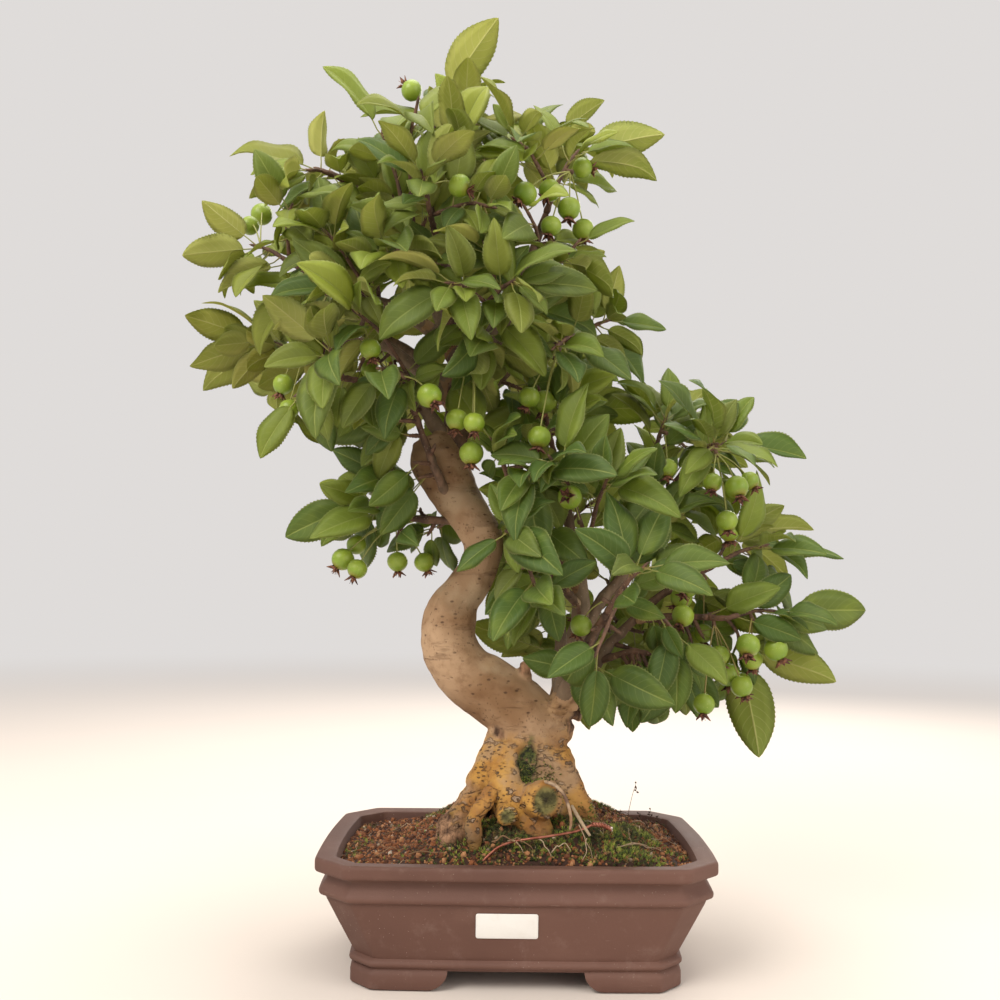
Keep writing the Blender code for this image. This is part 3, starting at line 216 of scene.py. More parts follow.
# Leafy shoots: the branch, how far along it they stand, and then each shoot's tip with the leaf tips it
# reaches for. The second and later shoots fork from the first.
SPRAYS = (
    ("leader", 1.0, ((-62, -4, 612), (-23, 0, 676), (-18, -8, 632), (-121, 5, 611)), ((-28, -28, 588),),
     ((-60, 46, 598),)),
    ("leader", 0.78, ((-98, -48, 566), (-128, -72, 606)), ((-72, -80, 575),),
     ((-38, -66, 548),)),
    ("left_mid", 1.0, ((-192, -18, 497), (-232, -15, 527), (-240, -40, 480)), ((-160, -55, 512),)),
    ("left_mid", 0.5, ((-118, -86, 448), (-140, -128, 425)), ((-135, -70, 492),),
     ((-84, -80, 474),)),
    ("left_far", 1.0, ((-194, 20, 436), (-251, 10, 448), (-247, 15, 412)), ((-186, 40, 398),)),
    ("left_far", 0.6, ((-165, 62, 470), (-212, 88, 480)), ((-135, 88, 440),)),
    ("left_low", 1.0, ((-150, -56, 382), (-175, -70, 336)), ((-125, -85, 405),)),
    ("left_low", 0.6, ((-92, -92, 392), (-84, -138, 368)), ((-108, -84, 430),)),
    ("thin_front", 1.0, ((-88, -46, 402), (-122, -50, 372)),),
    ("upper_left", 1.0, ((-146, -24, 552), (-148, -20, 592), (-212, -25, 568)), ((-150, -52, 540),)),
    ("upper_left", 0.6, ((-120, 34, 572), (-150, 66, 592)), ((-140, 48, 522), (-188, 60, 535))),
    ("upper_right", 1.0, ((28, 18, 598), (60, 28, 628), (80, 60, 590)), ((-8, 58, 594), (0, 84, 622))),
    ("right_up", 1.0, ((38, -28, 564), (98, -15, 582), (91, -10, 553)), ((-5, -58, 560),)),
    ("right_up", 0.6, ((38, -44, 492), (74, -62, 505)), ((2, -82, 502), (20, -126, 500)),
     ((-12, -76, 468),)),
    ("right_mid", 1.0, ((64, -14, 446), (106, -15, 440), (72, -5, 482)), ((22, -72, 412), (38, -108, 385))),
    ("back_up", 1.0, ((-102, 94, 560), (-118, 128, 594)), ((-58, 104, 534), (-35, 139, 550))),
    ("back_right", 1.0, ((32, 92, 515), (62, 122, 536)), ((18, 106, 450), (40, 139, 432))),
    ("back_left", 1.0, ((-152, 92, 482), (-196, 118, 500)), ((-110, 108, 432), (-125, 139, 405))),
    ("back_left", 0.5, ((-70, 92, 398), (-62, 128, 372)),),
    ("front_up", 1.0, ((-66, -104, 516), (-90, -139, 540)), ((-22, -98, 498),)),
    ("front_mid", 1.0, ((-6, -102, 448), (12, -139, 428)), ((-46, -108, 444), (-52, -139, 420)),
     ((-24, -96, 472),)),
    ("riser", 1.0, ((14, -18, 392), (-4, -20, 440)), ((46, 24, 388), (70, 50, 405))),
    ("vee", 1.0, ((-18, -50, 350),), ((26, -36, 364), (52, -60, 378)), ((10, -74, 326),)),
    ("front_left", 1.0, ((-8, -86, 288), (-42, -92, 262)), ((12, -84, 246), (-6, -96, 216))),
    ("middle", 1.0, ((106, -8, 376), (112, -10, 410), (75, -40, 398)), ((128, 40, 362), (162, 64, 352))),
    ("middle", 0.62, ((112, 62, 318), (138, 100, 330)),),
    ("upper_fork", 1.0, ((150, -16, 358), (208, -12, 348), (164, -18, 390)),
     ((132, -58, 350), (150, -95, 335))),
    ("long", 1.0, ((176, -5, 284), (235, -8, 278)), ((162, 38, 296), (205, 58, 300))),
    ("lower", 1.0, ((180, -24, 238), (248, -20, 235), (213, -32, 226)), ((160, 8, 212), (225, -15, 188),
     (176, 10, 133))),
    ("low_side", 1.0, ((116, -14, 206), (88, -25, 157), (128, -30, 165)),),
    ("back_low", 1.0, ((114, 96, 262), (152, 126, 270)), ((66, 102, 232), (78, 138, 206))),
    ("front_low", 1.0, ((78, -96, 266), (108, -136, 250)), ((104, -66, 222), (130, -95, 195)),
     ((48, -104, 214),)),
    ("back_rise", 1.0, ((20, 94, 322), (8, 130, 345)), ((62, 84, 322), (95, 112, 345)),
     ((2, 58, 262),)),
    ("riser", 0.66, ((56, -76, 322), (78, -112, 340)), ((20, -84, 335), (8, -122, 322))),
    ("tuft", 1.0, ((-110, -8, 314), (-168, -12, 283), (-146, -5, 322)), ((-92, -4, 334),)),
)

# Bunches: the spot on a shoot or branch where the spur stands, then the middle of each apple
BUNCHES = (
    ((22, -34, 556), (19, -45, 530), (43, -30, 553), (7, -50, 519), (33, -40, 519), (23, -48, 501),
     (44, -26, 509)),
    ((-45, -90, 530), (-37, -98, 503)),
    ((-196, -6, 548), (-203, 5, 520), (-199, 25, 536)),
    ((-158, -24, 424), (-169, -20, 395), (-163, -27, 376)),
    ((-100, -84, 432), (-99, -86, 406)),
    ((-56, -74, 410), (-60, -85, 376)),
    ((-36, -58, 396), (-43, -62, 364), (-31, -74, 360), (-33, -58, 342)),
    ((8, -52, 412), (12, -75, 351), (6, -50, 382), (17, -34, 382)),
    ((-66, 0, 598), (-84, 6, 627)),
    ((30, -60, 285), (32, -80, 311)),
    ((100, -12, 366), (105, -20, 338)),
    ((140, -14, 352), (135, -30, 327), (150, -38, 323), (162, -25, 329), (147, -20, 301), (152, -5, 295)),
    ((116, -6, 282), (119, -20, 253), (115, -24, 234), (117, -3, 245), (134, 0, 221)),
    ((48, -58, 262), (43, -60, 229)),
    ((138, -18, 232), (140, -25, 207), (148, -15, 193), (159, -5, 186), (138, -30, 167), (150, -25, 180)),
    ((160, -22, 240), (156, -42, 215), (178, -30, 212), (164, -20, 204)),
    ((-88, -9, 303), (-125, -10, 271), (-113, -22, 264), (-117, 0, 282), (-87, 0, 270), (-68, 5, 270)),
    ((-110, 84, 476), (-112, 96, 446), (-96, 104, 438), (-124, 108, 434)),
    ((60, 78, 262), (52, 88, 232), (66, 96, 222)),
)
WIRE = (
    (-33, -71, 66), (-23, -73.5, 77), (-12, -72, 86.5), (0, -71, 90.5), (18, -72, 93.5), (34, -69, 95.6),
    (43, -66, 97.4), (49, -63.5, 99.8),
)
WIRE_END = ((49, -63.5, 99.8), (55, -65, 99.8), (61, -66.5, 97.4))


def mm(values):
    """A point given in millimetres, in metres."""
    return Vector(values) * MM


def anyhow(rng, *spread):
    """A vector in any direction: each part is drawn from -1 to 1, and multiplied by spread."""
    return Vector([math.prod((rng.uniform(-1, 1), *spread)) for _ in range(3)])


def smooth(points, steps):
    """A smooth curve through given points, each a place and a radius in millimetres, in metres."""
    knots = [Vector(p) * MM for p in points]
    path = []
    for i in range(len(knots) - 1):
        before = knots[max(i - 1, 0)]
        after = knots[min(i + 2, len(knots) - 1)]
        for step in range(steps):
            t = step / steps
            near = (knots[i + 1] - before) * 0.5 * t * (1 - t) * (1 - t)
            far = (knots[i] - after) * 0.5 * t * t * (1 - t)
            blend = t * t * (3 - 2 * t)
            path.append(knots[i].lerp(knots[i + 1], blend) + near + far)
    path.append(knots[-1])
    return [(p.to_3d(), p.w) for p in path]


def place_along(path, share):
    """The point, radius and direction at a share of a path."""
    at = min(share, 0.999) * (len(path) - 1)
    i = int(at)
    (near, near_radius), (far, far_radius) = path[i], path[i + 1]
    t = at - i if share < 1 else 1.0
    return near.lerp(far, t), near_radius + (far_radius - near_radius) * t, (far - near).normalized()


def inside(outline, across, up):
    """Whether a point of a plane lies inside an outline."""
    crossings = 0
    for (x0, z0), (x1, z1) in zip(outline, outline[1:] + outline[:1]):
        if (z0 > up) != (z1 > up) and across < x0 + (x1 - x0) * (up - z0) / (z1 - z0):
            crossings += 1
    return crossings % 2 == 1


def ring_round(centre, axis, radius, sides, start=None):
    """Corners of a circle square to an axis."""
    first = (start - axis * start.dot(axis)).normalized() if start else axis.orthogonal().normalized()
    second = axis.cross(first)
    turns = [2 * math.pi * k / sides for k in range(sides)]
    return [centre + first * (radius * math.cos(a)) + second * (radius * math.sin(a)) for a in turns]


def loft(rings):
    """Corners and faces of a closed solid through rings of 6, 3 or 1 corners.

    The second half of a ring of 6 splits its four-sided faces the other way, so that the two faces of a thin
    blade have the same triangles.
    """
    corners = [corner for ring in rings for corner in ring]
    faces = [tuple(reversed(range(len(rings[0]))))]
    at = 0
    for near, far in zip(rings, rings[1:]):
        n, to = len(near), at + len(near)
        for i in range(n):
            j = (i + 1) % n
            if len(far) == 1:
                faces.append((at + i, at + j, to))
            elif len(far) == n and i < 3:
                faces += [(at + i, at + j, to + j), (at + i, to + j, to + i)]
            elif len(far) == n:
                faces += [(at + i, at + j, to + i), (at + j, to + j, to + i)]
            elif len(far) > n:
                faces += [(at + i, to + 2 * i + 1, to + 2 * i), (at + i, at + j, to + 2 * i + 1),
                          (at + j, to + (2 * i + 2) % 6, to + 2 * i + 1)]
            elif i % 2 == 0:
                k = i // 2
                faces += [(at + i, at + i + 1, to + k), (at + i + 1, at + (i + 2) % 6, to + k),
                          (at + (i + 2) % 6, to + (k + 1) % 3, to + k)]
        at = to
    if len(rings[-1]) > 1:
        faces.append(tuple(range(at, at + len(rings[-1]))))
    return corners, faces


def stacked(sides, rings):
    """The faces of a closed solid whose rings of corners follow one another, its two ends last."""
    faces = []
    for at in range(0, (rings - 1) * sides, sides):
        for i in range(sides):
            j = (i + 1) % sides
            faces.append((at + i, at + j, at + sides + j, at + sides + i))
    return faces + [tuple(reversed(range(sides))), tuple(range((rings - 1) * sides, rings * sides))]


class Leaf:
    """One leaf: a stalk from its root to its blade, and a folded blade that arches down."""

    def __init__(self, root, heading, face, length, stalk, droop, fold):
        self.root = root
        self.heading = heading
        self.side = heading.cross(face).normalized()
        self.face = self.side.cross(heading).normalized()
        self.length = length
        self.droop = droop
        self.fold = fold
        self.blade = root + heading * stalk

    def middle(self, u):
        """The point of the midrib at share u of the blade, and the face's direction there."""
        point = self.blade + (self.heading * u - self.face * (0.5 * self.droop * u * u)) * self.length
        along = (self.heading - self.face * (self.droop * u)).normalized()
        return point, self.side.cross(along).normalized()

    def half_width(self, u):
        """Half the blade's width: round at its base, widest before its middle and drawn out to a point."""
        full = 0.43 ** 0.58 * 0.57 ** 0.78
        return 0.5 * BROAD * self.length * u ** 0.58 * (1 - u) ** 0.78 / full

    def rings(self, rows, grow=0.0):
        """The stalk's two rings, one ring for each row of the blade and its tip."""
        thick = 0.5 * BLADE_THICKNESS * MM + grow
        radius = STALK_RADIUS * MM + grow
        start = self.face - self.side
        stalk = [ring_round(p, self.heading, radius, 3, start) for p in (self.root, self.blade)]
        blades = []
        for u in rows:
            middle, face = self.middle(u)
            half = self.half_width(u) + grow
            out = self.side * (half * math.cos(self.fold))
            lift = face * (half * math.sin(self.fold))
            top = [middle - out + lift, middle, middle + out + lift]
            blades.append([p + face * thick for p in top] + [p - face * thick for p in reversed(top)])
        end, _ = self.middle(1)
        return stalk, blades, [[end + (end - self.blade).normalized() * grow]]

    def rows(self):
        return (0.17, 0.46, 0.78) if self.length > LONG_BLADE * MM else (0.24, 0.64)


class Shell:
    """A closed surface that later growth keeps clear of."""

    def __init__(self, owner, corners, faces):
        self.owner = owner
        self.middle = sum(corners, Vector()) / len(corners)
        self.reach = max((corner - self.middle).length for corner in corners)
        self.tree = BVHTree.FromPolygons(corners, faces)

    def meets(self, other):
        near = (self.middle - other.middle).length < self.reach + other.reach
        return near and bool(self.tree.overlap(other.tree))


def tube_shell(owner, path, sides=10, grow=0.0):
    """The shell of a tube; its first ring keeps its own radius, because it stands on what carries it."""
    rings = []
    for i, (point, radius) in enumerate(path):
        ahead = path[min(i + 1, len(path) - 1)][0] - path[max(i - 1, 0)][0]
        rings.append(ring_round(point, ahead.normalized(), radius + (grow if i else 0.0), sides))
    corners = [corner for ring in rings for corner in ring]
    faces = [tuple(range(sides)), tuple(range(len(corners) - sides, len(corners)))]
    for at in range(0, len(corners) - sides, sides):
        for i in range(sides):
            j = (i + 1) % sides
            faces.append((at + i, at + j, at + j + sides, at + i + sides))
    return Shell(owner, corners, faces)


def shoot_path(start, first, radius, tip, bend):
    """A shoot's path: straight out along its first direction, then bowed a little upward to its tip."""
    reach = (tip - start).length
    bow = start + first * (0.3 * reach)
    halfway = bow.lerp(tip, 0.52) + (UP * 0.05 + bend) * reach
    radii = [radius + (1.0 * MM - radius) * t for t in (0, 0.3, 0.65, 1)]
    return list(zip((start, bow, halfway, tip), radii))


def side_start(path, share, tip, radius):
    """Where a shoot stands on the side of a branch, and the direction that it leaves in."""
    centre, thickness, along = place_along(path, share)
    out = tip - centre
    out = (out - along * out.dot(along)).normalized()
    return centre + out * (thickness + GAP), out, min(radius, 0.8 * thickness)


class Spray:
    """Leafy shoots that fork from one base, with their leaves."""

    def __init__(self, name):
        self.name = name
        self.shoots = []
        self.aims = []
        self.leaves = []


class Bunch:
    """Apples on one spur: the spur's path, and for each apple its stalk, middle, axis and radius."""

    def __init__(self, name, knob):
        self.name = name
        self.knob = knob
        self.apples = []


def apple_rings(stalk, middle, axis, radius):
    """An apple with its stalk above and its dried calyx below, as rings for a loft."""
    side = axis.orthogonal()
    rings = [ring_round(point, axis, STALK_RADIUS * MM, 3, side) for point in stalk]
    for height, share in ((-0.78, 0.62), (-0.05, 1.0), (0.72, 0.7)):
        rings.append(ring_round(middle + axis * (height * radius), axis, share * radius, 6, side))
    rings.append(ring_round(middle + axis * (0.9 * radius), axis, 0.17 * radius, 3, side))
    rings.append(ring_round(middle + axis * (1.38 * radius), axis, 0.32 * radius, 3, side))
    return rings


class Growth:
    """Everything that grows, placed in order so that nothing runs through anything else."""

    def __init__(self):
        self.shells = []
        self.near = []
        self.wood = {"trunk": smooth(TRUNK, 1)}
        for name, points in ROOTS.items():
            self.wood["root_" + name] = smooth(points, 1)
        for name, points in BRANCHES.items():
            self.wood[name] = smooth(points, 1)
        for name, path in self.wood.items():
            self.shells.append(tube_shell("wood", path, 12, 0.1 * MM))
        self.sprays = []
        self.bunches = []
        self.grow_sprays()
        self.grow_bunches()
        low, high = (height * MM for height in BARE_HEIGHTS)
        self.shown = [(place, radius) for place, radius in smooth(TRUNK, 3) if low < place.z < high]
        self.shown += [(middle, radius) for bunch in self.bunches for _, middle, _, radius in bunch.apples]

    def clear(self, shell, skip=()):
        """Whether a shell meets nothing; only those near enough to touch are looked at."""
        if len(self.near) < len(self.shells):
            self.near += [(*other.middle, other.reach) for other in self.shells[len(self.near):]]
            self.spheres = np.array(self.near)
        apart = np.linalg.norm(self.spheres[:, :3] - np.array(shell.middle), axis=1)
        close = np.nonzero(apart < self.spheres[:, 3] + shell.reach)[0]
        return not any(self.shells[i].owner not in skip and shell.meets(self.shells[i]) for i in close)

    def grow_sprays(self):
        for number, (branch, share, *shoots) in enumerate(SPRAYS, 1):
            spray = Spray("spray_%02d" % number)
            rng = random.Random(100 + number)
            for order, (tip, *aims) in enumerate(shoots):
                self.grow_shoot(spray, branch, share, order, mm(tip), rng)
                spray.aims.append([mm(aim) for aim in aims])
            self.sprays.append(spray)

    def grow_shoot(self, spray, branch, share, order, tip, rng):
        """One shoot, bent aside a little at a time until it runs clear."""
        parent = self.wood[branch] if order == 0 else spray.shoots[0]
        for attempt in range(30):
            if order == 0 and share == 1.0:
                end, radius, along = place_along(parent, 1.0)
                start, first = end + along * GAP, along
            elif order == 0:
                start, first, radius = side_start(parent, share, tip, 1.9 * MM)
            else:
                start, radius, along = place_along(parent, 0.3 + 0.25 * (order - 1))
                first, radius = ((tip - start).normalized() + along * 0.6).normalized(), 0.8 * radius
            sway = 0.02 * attempt
            bend = anyhow(rng, sway, 2)
            shift = anyhow(rng, sway, 0.03)
            path = shoot_path(start, first, radius, tip + shift, bend)
            if order:
                del path[1]
            shell = tube_shell(spray.name, path, 8, 2 * GAP)
            if self.clear(shell, (spray.name,)):
                break
        spray.shoots.append(path)
        self.shells.append(shell)

    def spur_spot(self, spot):
        """The nearest point on a shoot or branch to a spot, with its radius and direction."""
        paths = [path for spray in self.sprays for path in spray.shoots]
        paths += [path for name, path in self.wood.items() if name in BRANCHES]
        places = [place_along(path, k / 24) for path in paths for k in range(2, 24)]
        return min(places, key=lambda place: (place[0] - spot).length)

    def grow_bunches(self):
        for number, (spot, *middles) in enumerate(BUNCHES, 1):
            rng = random.Random(500 + number)
            middles = [mm(middle) for middle in middles]
            centre, thickness, along = self.spur_spot(mm(spot))
            out = sum(middles, Vector()) / len(middles) - centre
            out = (out - along * out.dot(along)).normalized()
            base = centre + out * (thickness + GAP)
            end = base + out * (4.5 * MM)
            bunch = Bunch("fruit_%02d" % number, [(base, 1.3 * MM), (end, 1.7 * MM)])
            for middle in middles:
                self.grow_apple(bunch, middle, rng)
            self.shells.append(tube_shell(bunch.name, bunch.knob, 8))
            self.bunches.append(bunch)

    def grow_apple(self, bunch, middle, rng):
        """One apple on its stalk, moved a little at a time until it hangs clear."""
        (base, _), (end, _) = bunch.knob
        out = (end - base).normalized()
        radius = rng.uniform(*APPLE_RADIUS) * MM
        for attempt in range(40):
            centre = middle + anyhow(rng, 0.0006, attempt)
            axis = ((centre - end).normalized() * 0.75 - UP * 0.35).normalized()
            top = centre - axis * (0.86 * radius)
            aside = centre - end
            aside = (aside - out * aside.dot(out)).normalized()
            root = end - out * (1.4 * MM) + aside * (0.6 * MM)
            hang = [root.lerp(top, 0.3), top]
            shell = Shell(bunch.name, *loft(apple_rings([root, top], centre, axis, radius + GAP)))
            alone = Shell(bunch.name, *loft(apple_rings(hang, centre, axis, radius)))
            if self.clear(shell, (bunch.name,)) and self.clear(alone):
                break
        bunch.apples.append(([root, top], centre, axis, radius))
        self.shells.append(Shell(bunch.name, *loft(apple_rings(hang, centre, axis, radius))))

    def fits(self, spray, leaf):
        """Whether a leaf stays inside the crown's limits and clear of everything; then it is kept."""
        low, high = LEAF_LIMITS
        stalk, blades, tip = leaf.rings(leaf.rows(), GAP)
        for corner in [corner for ring in blades + tip for corner in ring]:
            if any(not low[k] * MM <= corner[k] <= high[k] * MM for k in range(3)):
                return False
        blade = Shell(spray.name, *loft(stalk[1:] + blades + tip))
        own = Shell(spray.name, *loft([ring_round(leaf.root, leaf.heading, 0.9 * MM, 3), stalk[1]]))
        if not (self.clear(blade) and self.clear(own, (spray.name,))):
            return False
        stalk, blades, tip = leaf.rings(leaf.rows())
        self.shells.append(Shell(spray.name, *loft(stalk[1:] + blades + tip)))
        self.shells.append(Shell(spray.name, *loft(stalk)))
        spray.leaves.append(leaf)
        return True

    def hides(self, leaf):
        """Whether a leaf stands between the eye and something that is to be seen."""
        eye = mm(EYE)
        for u in SIGHT_STEPS:
            point, _ = leaf.middle(u)
            ray = point - eye
            reach = ray.length
            for place, radius in self.shown:
                far = (place - eye).length
                if reach < far - radius:
                    aside = ((place - eye) / far - ray / reach).length * far
                    if aside < radius + SIGHT_MARGIN * MM + SIGHT_LEAF_SHARE * leaf.half_width(u):
                        return True
        return False

    def strays(self, leaf):
        """Whether a leaf leaves the crown's outline."""
        eye = mm(EYE)
        for u in OUTLINE_STEPS:
            point, _ = leaf.middle(u)
            seen = eye + (point - eye) * (eye.y / (eye.y - point.y))
            if not inside(CROWN_OUTLINE, seen.x / MM, seen.z / MM):
                return True
        return False

    def outward(self, point):
        """Away from the heart of the nearer half of the crown."""
        hearts = [mm(heart) for heart in CROWN_HEARTS]
        heart = min(hearts, key=lambda place: (place - point).length)
        return (point - heart).normalized()

    def to_light(self, point, rng):
        """Where a leaf's face turns: up, outward, and to the front or the back, whichever it is nearer to.

        High in the crown many leaves turn the other way, and show their undersides.
        """
        side = 1 if point.y > rng.uniform(-4, 22) * MM else -1
        if point.z > HIGH_CROWN * MM and rng.random() < TURNED_AWAY:
            side = -side
        loose = anyhow(rng, 0.3)
        return (UP * 0.55 + self.outward(point) * 0.5 + Vector((0, 0.75 * side, 0)) + loose).normalized()

    def reach_leaf(self, spray, shoot, share, aim, rng):
        """A leaf whose tip reaches a given place."""
        root, _, _ = place_along(shoot, share)
        for attempt in range(24):
            droop = rng.uniform(0.2, 0.5)
            wobble = anyhow(rng, 0.0015, attempt)
            target = aim + wobble + UP * (0.22 * droop * (aim - root).length)
            reach = (target - root).length
            length = min(max(0.76 * reach, 30 * MM), 62 * MM)
            leaf = Leaf(root, (target - root).normalized(), self.to_light(root, rng), length, reach - length,
                        droop, rng.uniform(0.2, 0.4))
            if self.fits(spray, leaf):
                return

    def bud_leaf(self, spray, shoot, share, turn, lean, size, rng):
        """A leaf from a bud, turned and leaned a little further until it finds room."""
        root, _, along = place_along(shoot, share)
        for attempt in range(14):
            loose = 0.12 + 0.09 * attempt
            spin = Matrix.Rotation(turn + rng.uniform(-1, 1) * loose, 3, along)
            across = spin @ along.orthogonal().normalized()
            tilt = lean + rng.uniform(-1, 1) * loose * 0.7
            heading = along * math.cos(tilt) + across * math.sin(tilt) + self.outward(root) * 0.35 - UP * 0.12
            length = size * rng.uniform(0.9, 1.08) * (1 - 0.02 * attempt)
            leaf = Leaf(root, heading.normalized(), self.to_light(root, rng), length,
                        length * rng.uniform(0.26, 0.42), rng.uniform(0.3, 0.8), rng.uniform(0.18, 0.4))
            if not self.strays(leaf) and not self.hides(leaf) and self.fits(spray, leaf):
                return

    def grow_leaves(self):
        """The leaves that reach for the crown's outline first, then the rest, one bud after another."""
        rng = random.Random(7)
        for spray in self.sprays:
            for shoot, aims in zip(spray.shoots, spray.aims):
                for share, aim in zip(BUD_SHARES, aims):
                    self.reach_leaf(spray, shoot, share, aim, rng)
        for order, share in enumerate(BUD_SHARES):
            for spray in self.sprays:
                for number, (shoot, aims) in enumerate(zip(spray.shoots, spray.aims)):
                    if len(aims) <= order < max(SHOOT_LEAVES, len(aims) + 1):
                        turn = 2.4 * order + 1.7 * number + rng.uniform(-0.5, 0.5)
                        lean = (1.05 if order else 0.5) + rng.uniform(-0.15, 0.15)
                        size = rng.uniform(*LEAF_LENGTH) * MM
                        self.bud_leaf(spray, shoot, share, turn, lean, size, rng)


def soil_height(x, y):
    """The soil's surface, in millimetres: nearly level at the wall, mounded round the roots."""
    across = ((x - MOUND_CENTRE[0]) / MOUND_HALF[0]) ** 4 + ((y - MOUND_CENTRE[1]) / MOUND_HALF[1]) ** 4
    return SOIL_EDGE + MOUND_RISE * math.exp(-across)


# The fuller crown: further buds along each shoot, and leafy spurs straight on the branches
MORE_BUDS = (0.93, 0.8, 0.67, 0.53, 0.42, 0.3, 0.97, 0.72, 0.48)
SPUR_BUDS = (0.98, 0.7, 0.4, 0.85)
SPUR_SHARES = (0.35, 0.5, 0.65, 0.8, 0.92)
SPUR_LENGTH = (5, 11)
SEEN_RISERS = ("riser", "middle", "long", "low_side", "thin_front")
RISER_HEIGHTS = (165, 262)

# The room's light, and where lime has stained the pot
ROOM_LIGHT = (0.74, 0.715, 0.7)
STAIN_PLACE = (0.137, -0.088, 0.056)

# Leaves as they are seen
BLADE_ROWS = 9
TOOTH = 0.75
SEEN_THICKNESS = 0.34
MIDRIB_DEPTH = 0.5


class Tangle:
    """A tree of nodes being put together; node() makes one of any type."""

    def __init__(self, tree):
        self.tree = tree
        tree.nodes.clear()

    def node(self, kind, settings=None, inputs=None, output=0):
        made = self.tree.nodes.new(kind)
        for name, value in (settings or {}).items():
            if name == "stops":
                ramp = made.color_ramp
                while len(ramp.elements) < len(value):
                    ramp.elements.new(1.0)
                for element, (place, colour) in zip(ramp.elements, value):
                    element.position = place
                    element.color = (*colour, 1)
            else:
                setattr(made, name, value)
        for key, value in (inputs or {}).items():
            self.feed(made.inputs[key], value)
        return Reading(self, made.outputs[output]) if len(made.outputs) else None

    def feed(self, socket, value):
        if isinstance(value, Reading):
            self.tree.links.new(value.socket, socket)
        elif socket.type == "RGBA" and len(value) == 3:
            socket.default_value = (*value, 1)
        else:
            socket.default_value = value


class Reading:
    """What a node gives. An expression on readings adds the Math nodes that it needs."""

    def __init__(self, tangle, socket):
        self.tangle = tangle
        self.socket = socket

    def maths(self, operation, *values):
        return self.tangle.node("ShaderNodeMath", {"operation": operation}, dict(enumerate(values)))

    def __add__(self, other):
        return self.maths("ADD", self, other)

    __radd__ = __add__

    def __sub__(self, other):
        return self.maths("SUBTRACT", self, other)

    def __rsub__(self, other):
        return self.maths("SUBTRACT", other, self)

    def __mul__(self, other):
        return self.maths("MULTIPLY", self, other)

    __rmul__ = __mul__

    def __abs__(self):
        return self.maths("ABSOLUTE", self)

    def fraction(self):
        return self.maths("FRACT", self)

    def larger(self, other):
        return self.maths("MAXIMUM", self, other)

    def step(self, low, high):
        """0 below low, 1 above high, a smooth rise between; turned round if low is above high."""
        settings = {"interpolation_type": "SMOOTHSTEP"}
        return self.tangle.node("ShaderNodeMapRange", settings, {0: self, 1: low, 2: high})


class Finish(Tangle):
    """A material being put together."""

    def __init__(self, name):
        self.material = bpy.data.materials.new(name)
        self.material.use_nodes = True
        super().__init__(self.material.node_tree)
        self.place = self.node("ShaderNodeTexCoord", output=3)

    def mix(self, share, near, far, blend="MIX"):
        settings = {"data_type": "RGBA", "blend_type": blend}
        return self.node("ShaderNodeMix", settings, {0: share, 6: near, 7: far}, 2)

    def stretched(self, scale, turn=(0, 0, 0)):
        return self.node("ShaderNodeMapping", {}, {"Vector": self.place, "Scale": scale, "Rotation": turn})

    def noise(self, scale, detail=3.0, roughness=0.55, place=None):
        inputs = {"Vector": place or self.place, "Scale": scale, "Detail": detail, "Roughness": roughness}
        return self.node("ShaderNodeTexNoise", {}, inputs)

    def cells(self, scale, feature="F1", place=None, randomness=1.0):
        inputs = {"Vector": place or self.place, "Scale": scale, "Randomness": randomness}
        return self.node("ShaderNodeTexVoronoi", {"feature": feature}, inputs)

    def note(self, name, part):
        """What the mesh notes of each corner: one of three numbers."""
        whole = self.node("ShaderNodeAttribute", {"attribute_name": name}, output=1)
        return self.node("ShaderNodeSeparateXYZ", {}, {0: whole}, part)

    def bump(self, height, strength, distance, under=None):
        inputs = {"Height": height, "Strength": strength, "Distance": distance}
        if under:
            inputs["Normal"] = under
        return self.node("ShaderNodeBump", {}, inputs)

    def skin(self, colour, roughness, **others):
        inputs = {"Base Color": colour, "Roughness": roughness}
        inputs.update({name.replace("_", " "): value for name, value in others.items()})
        return self.node("ShaderNodeBsdfPrincipled", {}, inputs)

    def done(self, surface):
        self.node("ShaderNodeOutputMaterial", {}, {"Surface": surface})
        return self.material


def leaf_finish(name, deep, bright, vein, under):
    """A leaf's face: green that changes with the leaf's age, paler veins, and a thin pale margin."""
    f = Finish(name)
    along, across = (f.note("blade", part) for part in range(2))
    age, chance, warm = (f.note("tone", part) for part in range(3))
    side = abs(across)
    rank = (along * 8.5 - side * 1.3 - side * side * 1.0).fraction()
    line = abs(rank - 0.5).step(0.09, 0.02) * side.step(0.97, 0.75)
    rib = (side * (1.3 - along)).step(0.042, 0.018)
    veins = (line * (0.5 if under else 0.32)).larger(rib)
    mottle = f.noise(95, 4)
    blotch = f.noise(38, 2)
    colour = f.mix(age * 1.05 + mottle * 0.35 - 0.2, deep, bright)
    colour = f.mix(chance * 0.4, colour, (0.075, 0.12, 0.045))
    colour = f.mix(warm * 0.75, colour, (0.36, 0.30, 0.055))
    colour = f.mix(blotch.step(0.5, 0.75) * 0.3, colour, bright)
    colour = f.mix(veins * 0.6, colour, vein)
    colour = f.mix(side.step(0.94, 1.0) * 0.55, colour, (0.42, 0.46, 0.15))
    relief = f.noise(420, 2) * 0.3 + veins * (0.9 if under else -0.8) + side.step(0, 1) * 0.1
    skin = f.skin(colour, 0.46 + mottle * 0.16 + (0.2 if under else 0.0), Normal=f.bump(relief, 0.6, 0.0006),
                  Specular_IOR_Level=0.2 if under else 0.38)
    glow = f.node("ShaderNodeBsdfTranslucent", {}, {"Color": (0.50, 0.58, 0.08)})
    return f.done(f.node("ShaderNodeMixShader", {}, {0: 0.34, 1: skin, 2: glow}))


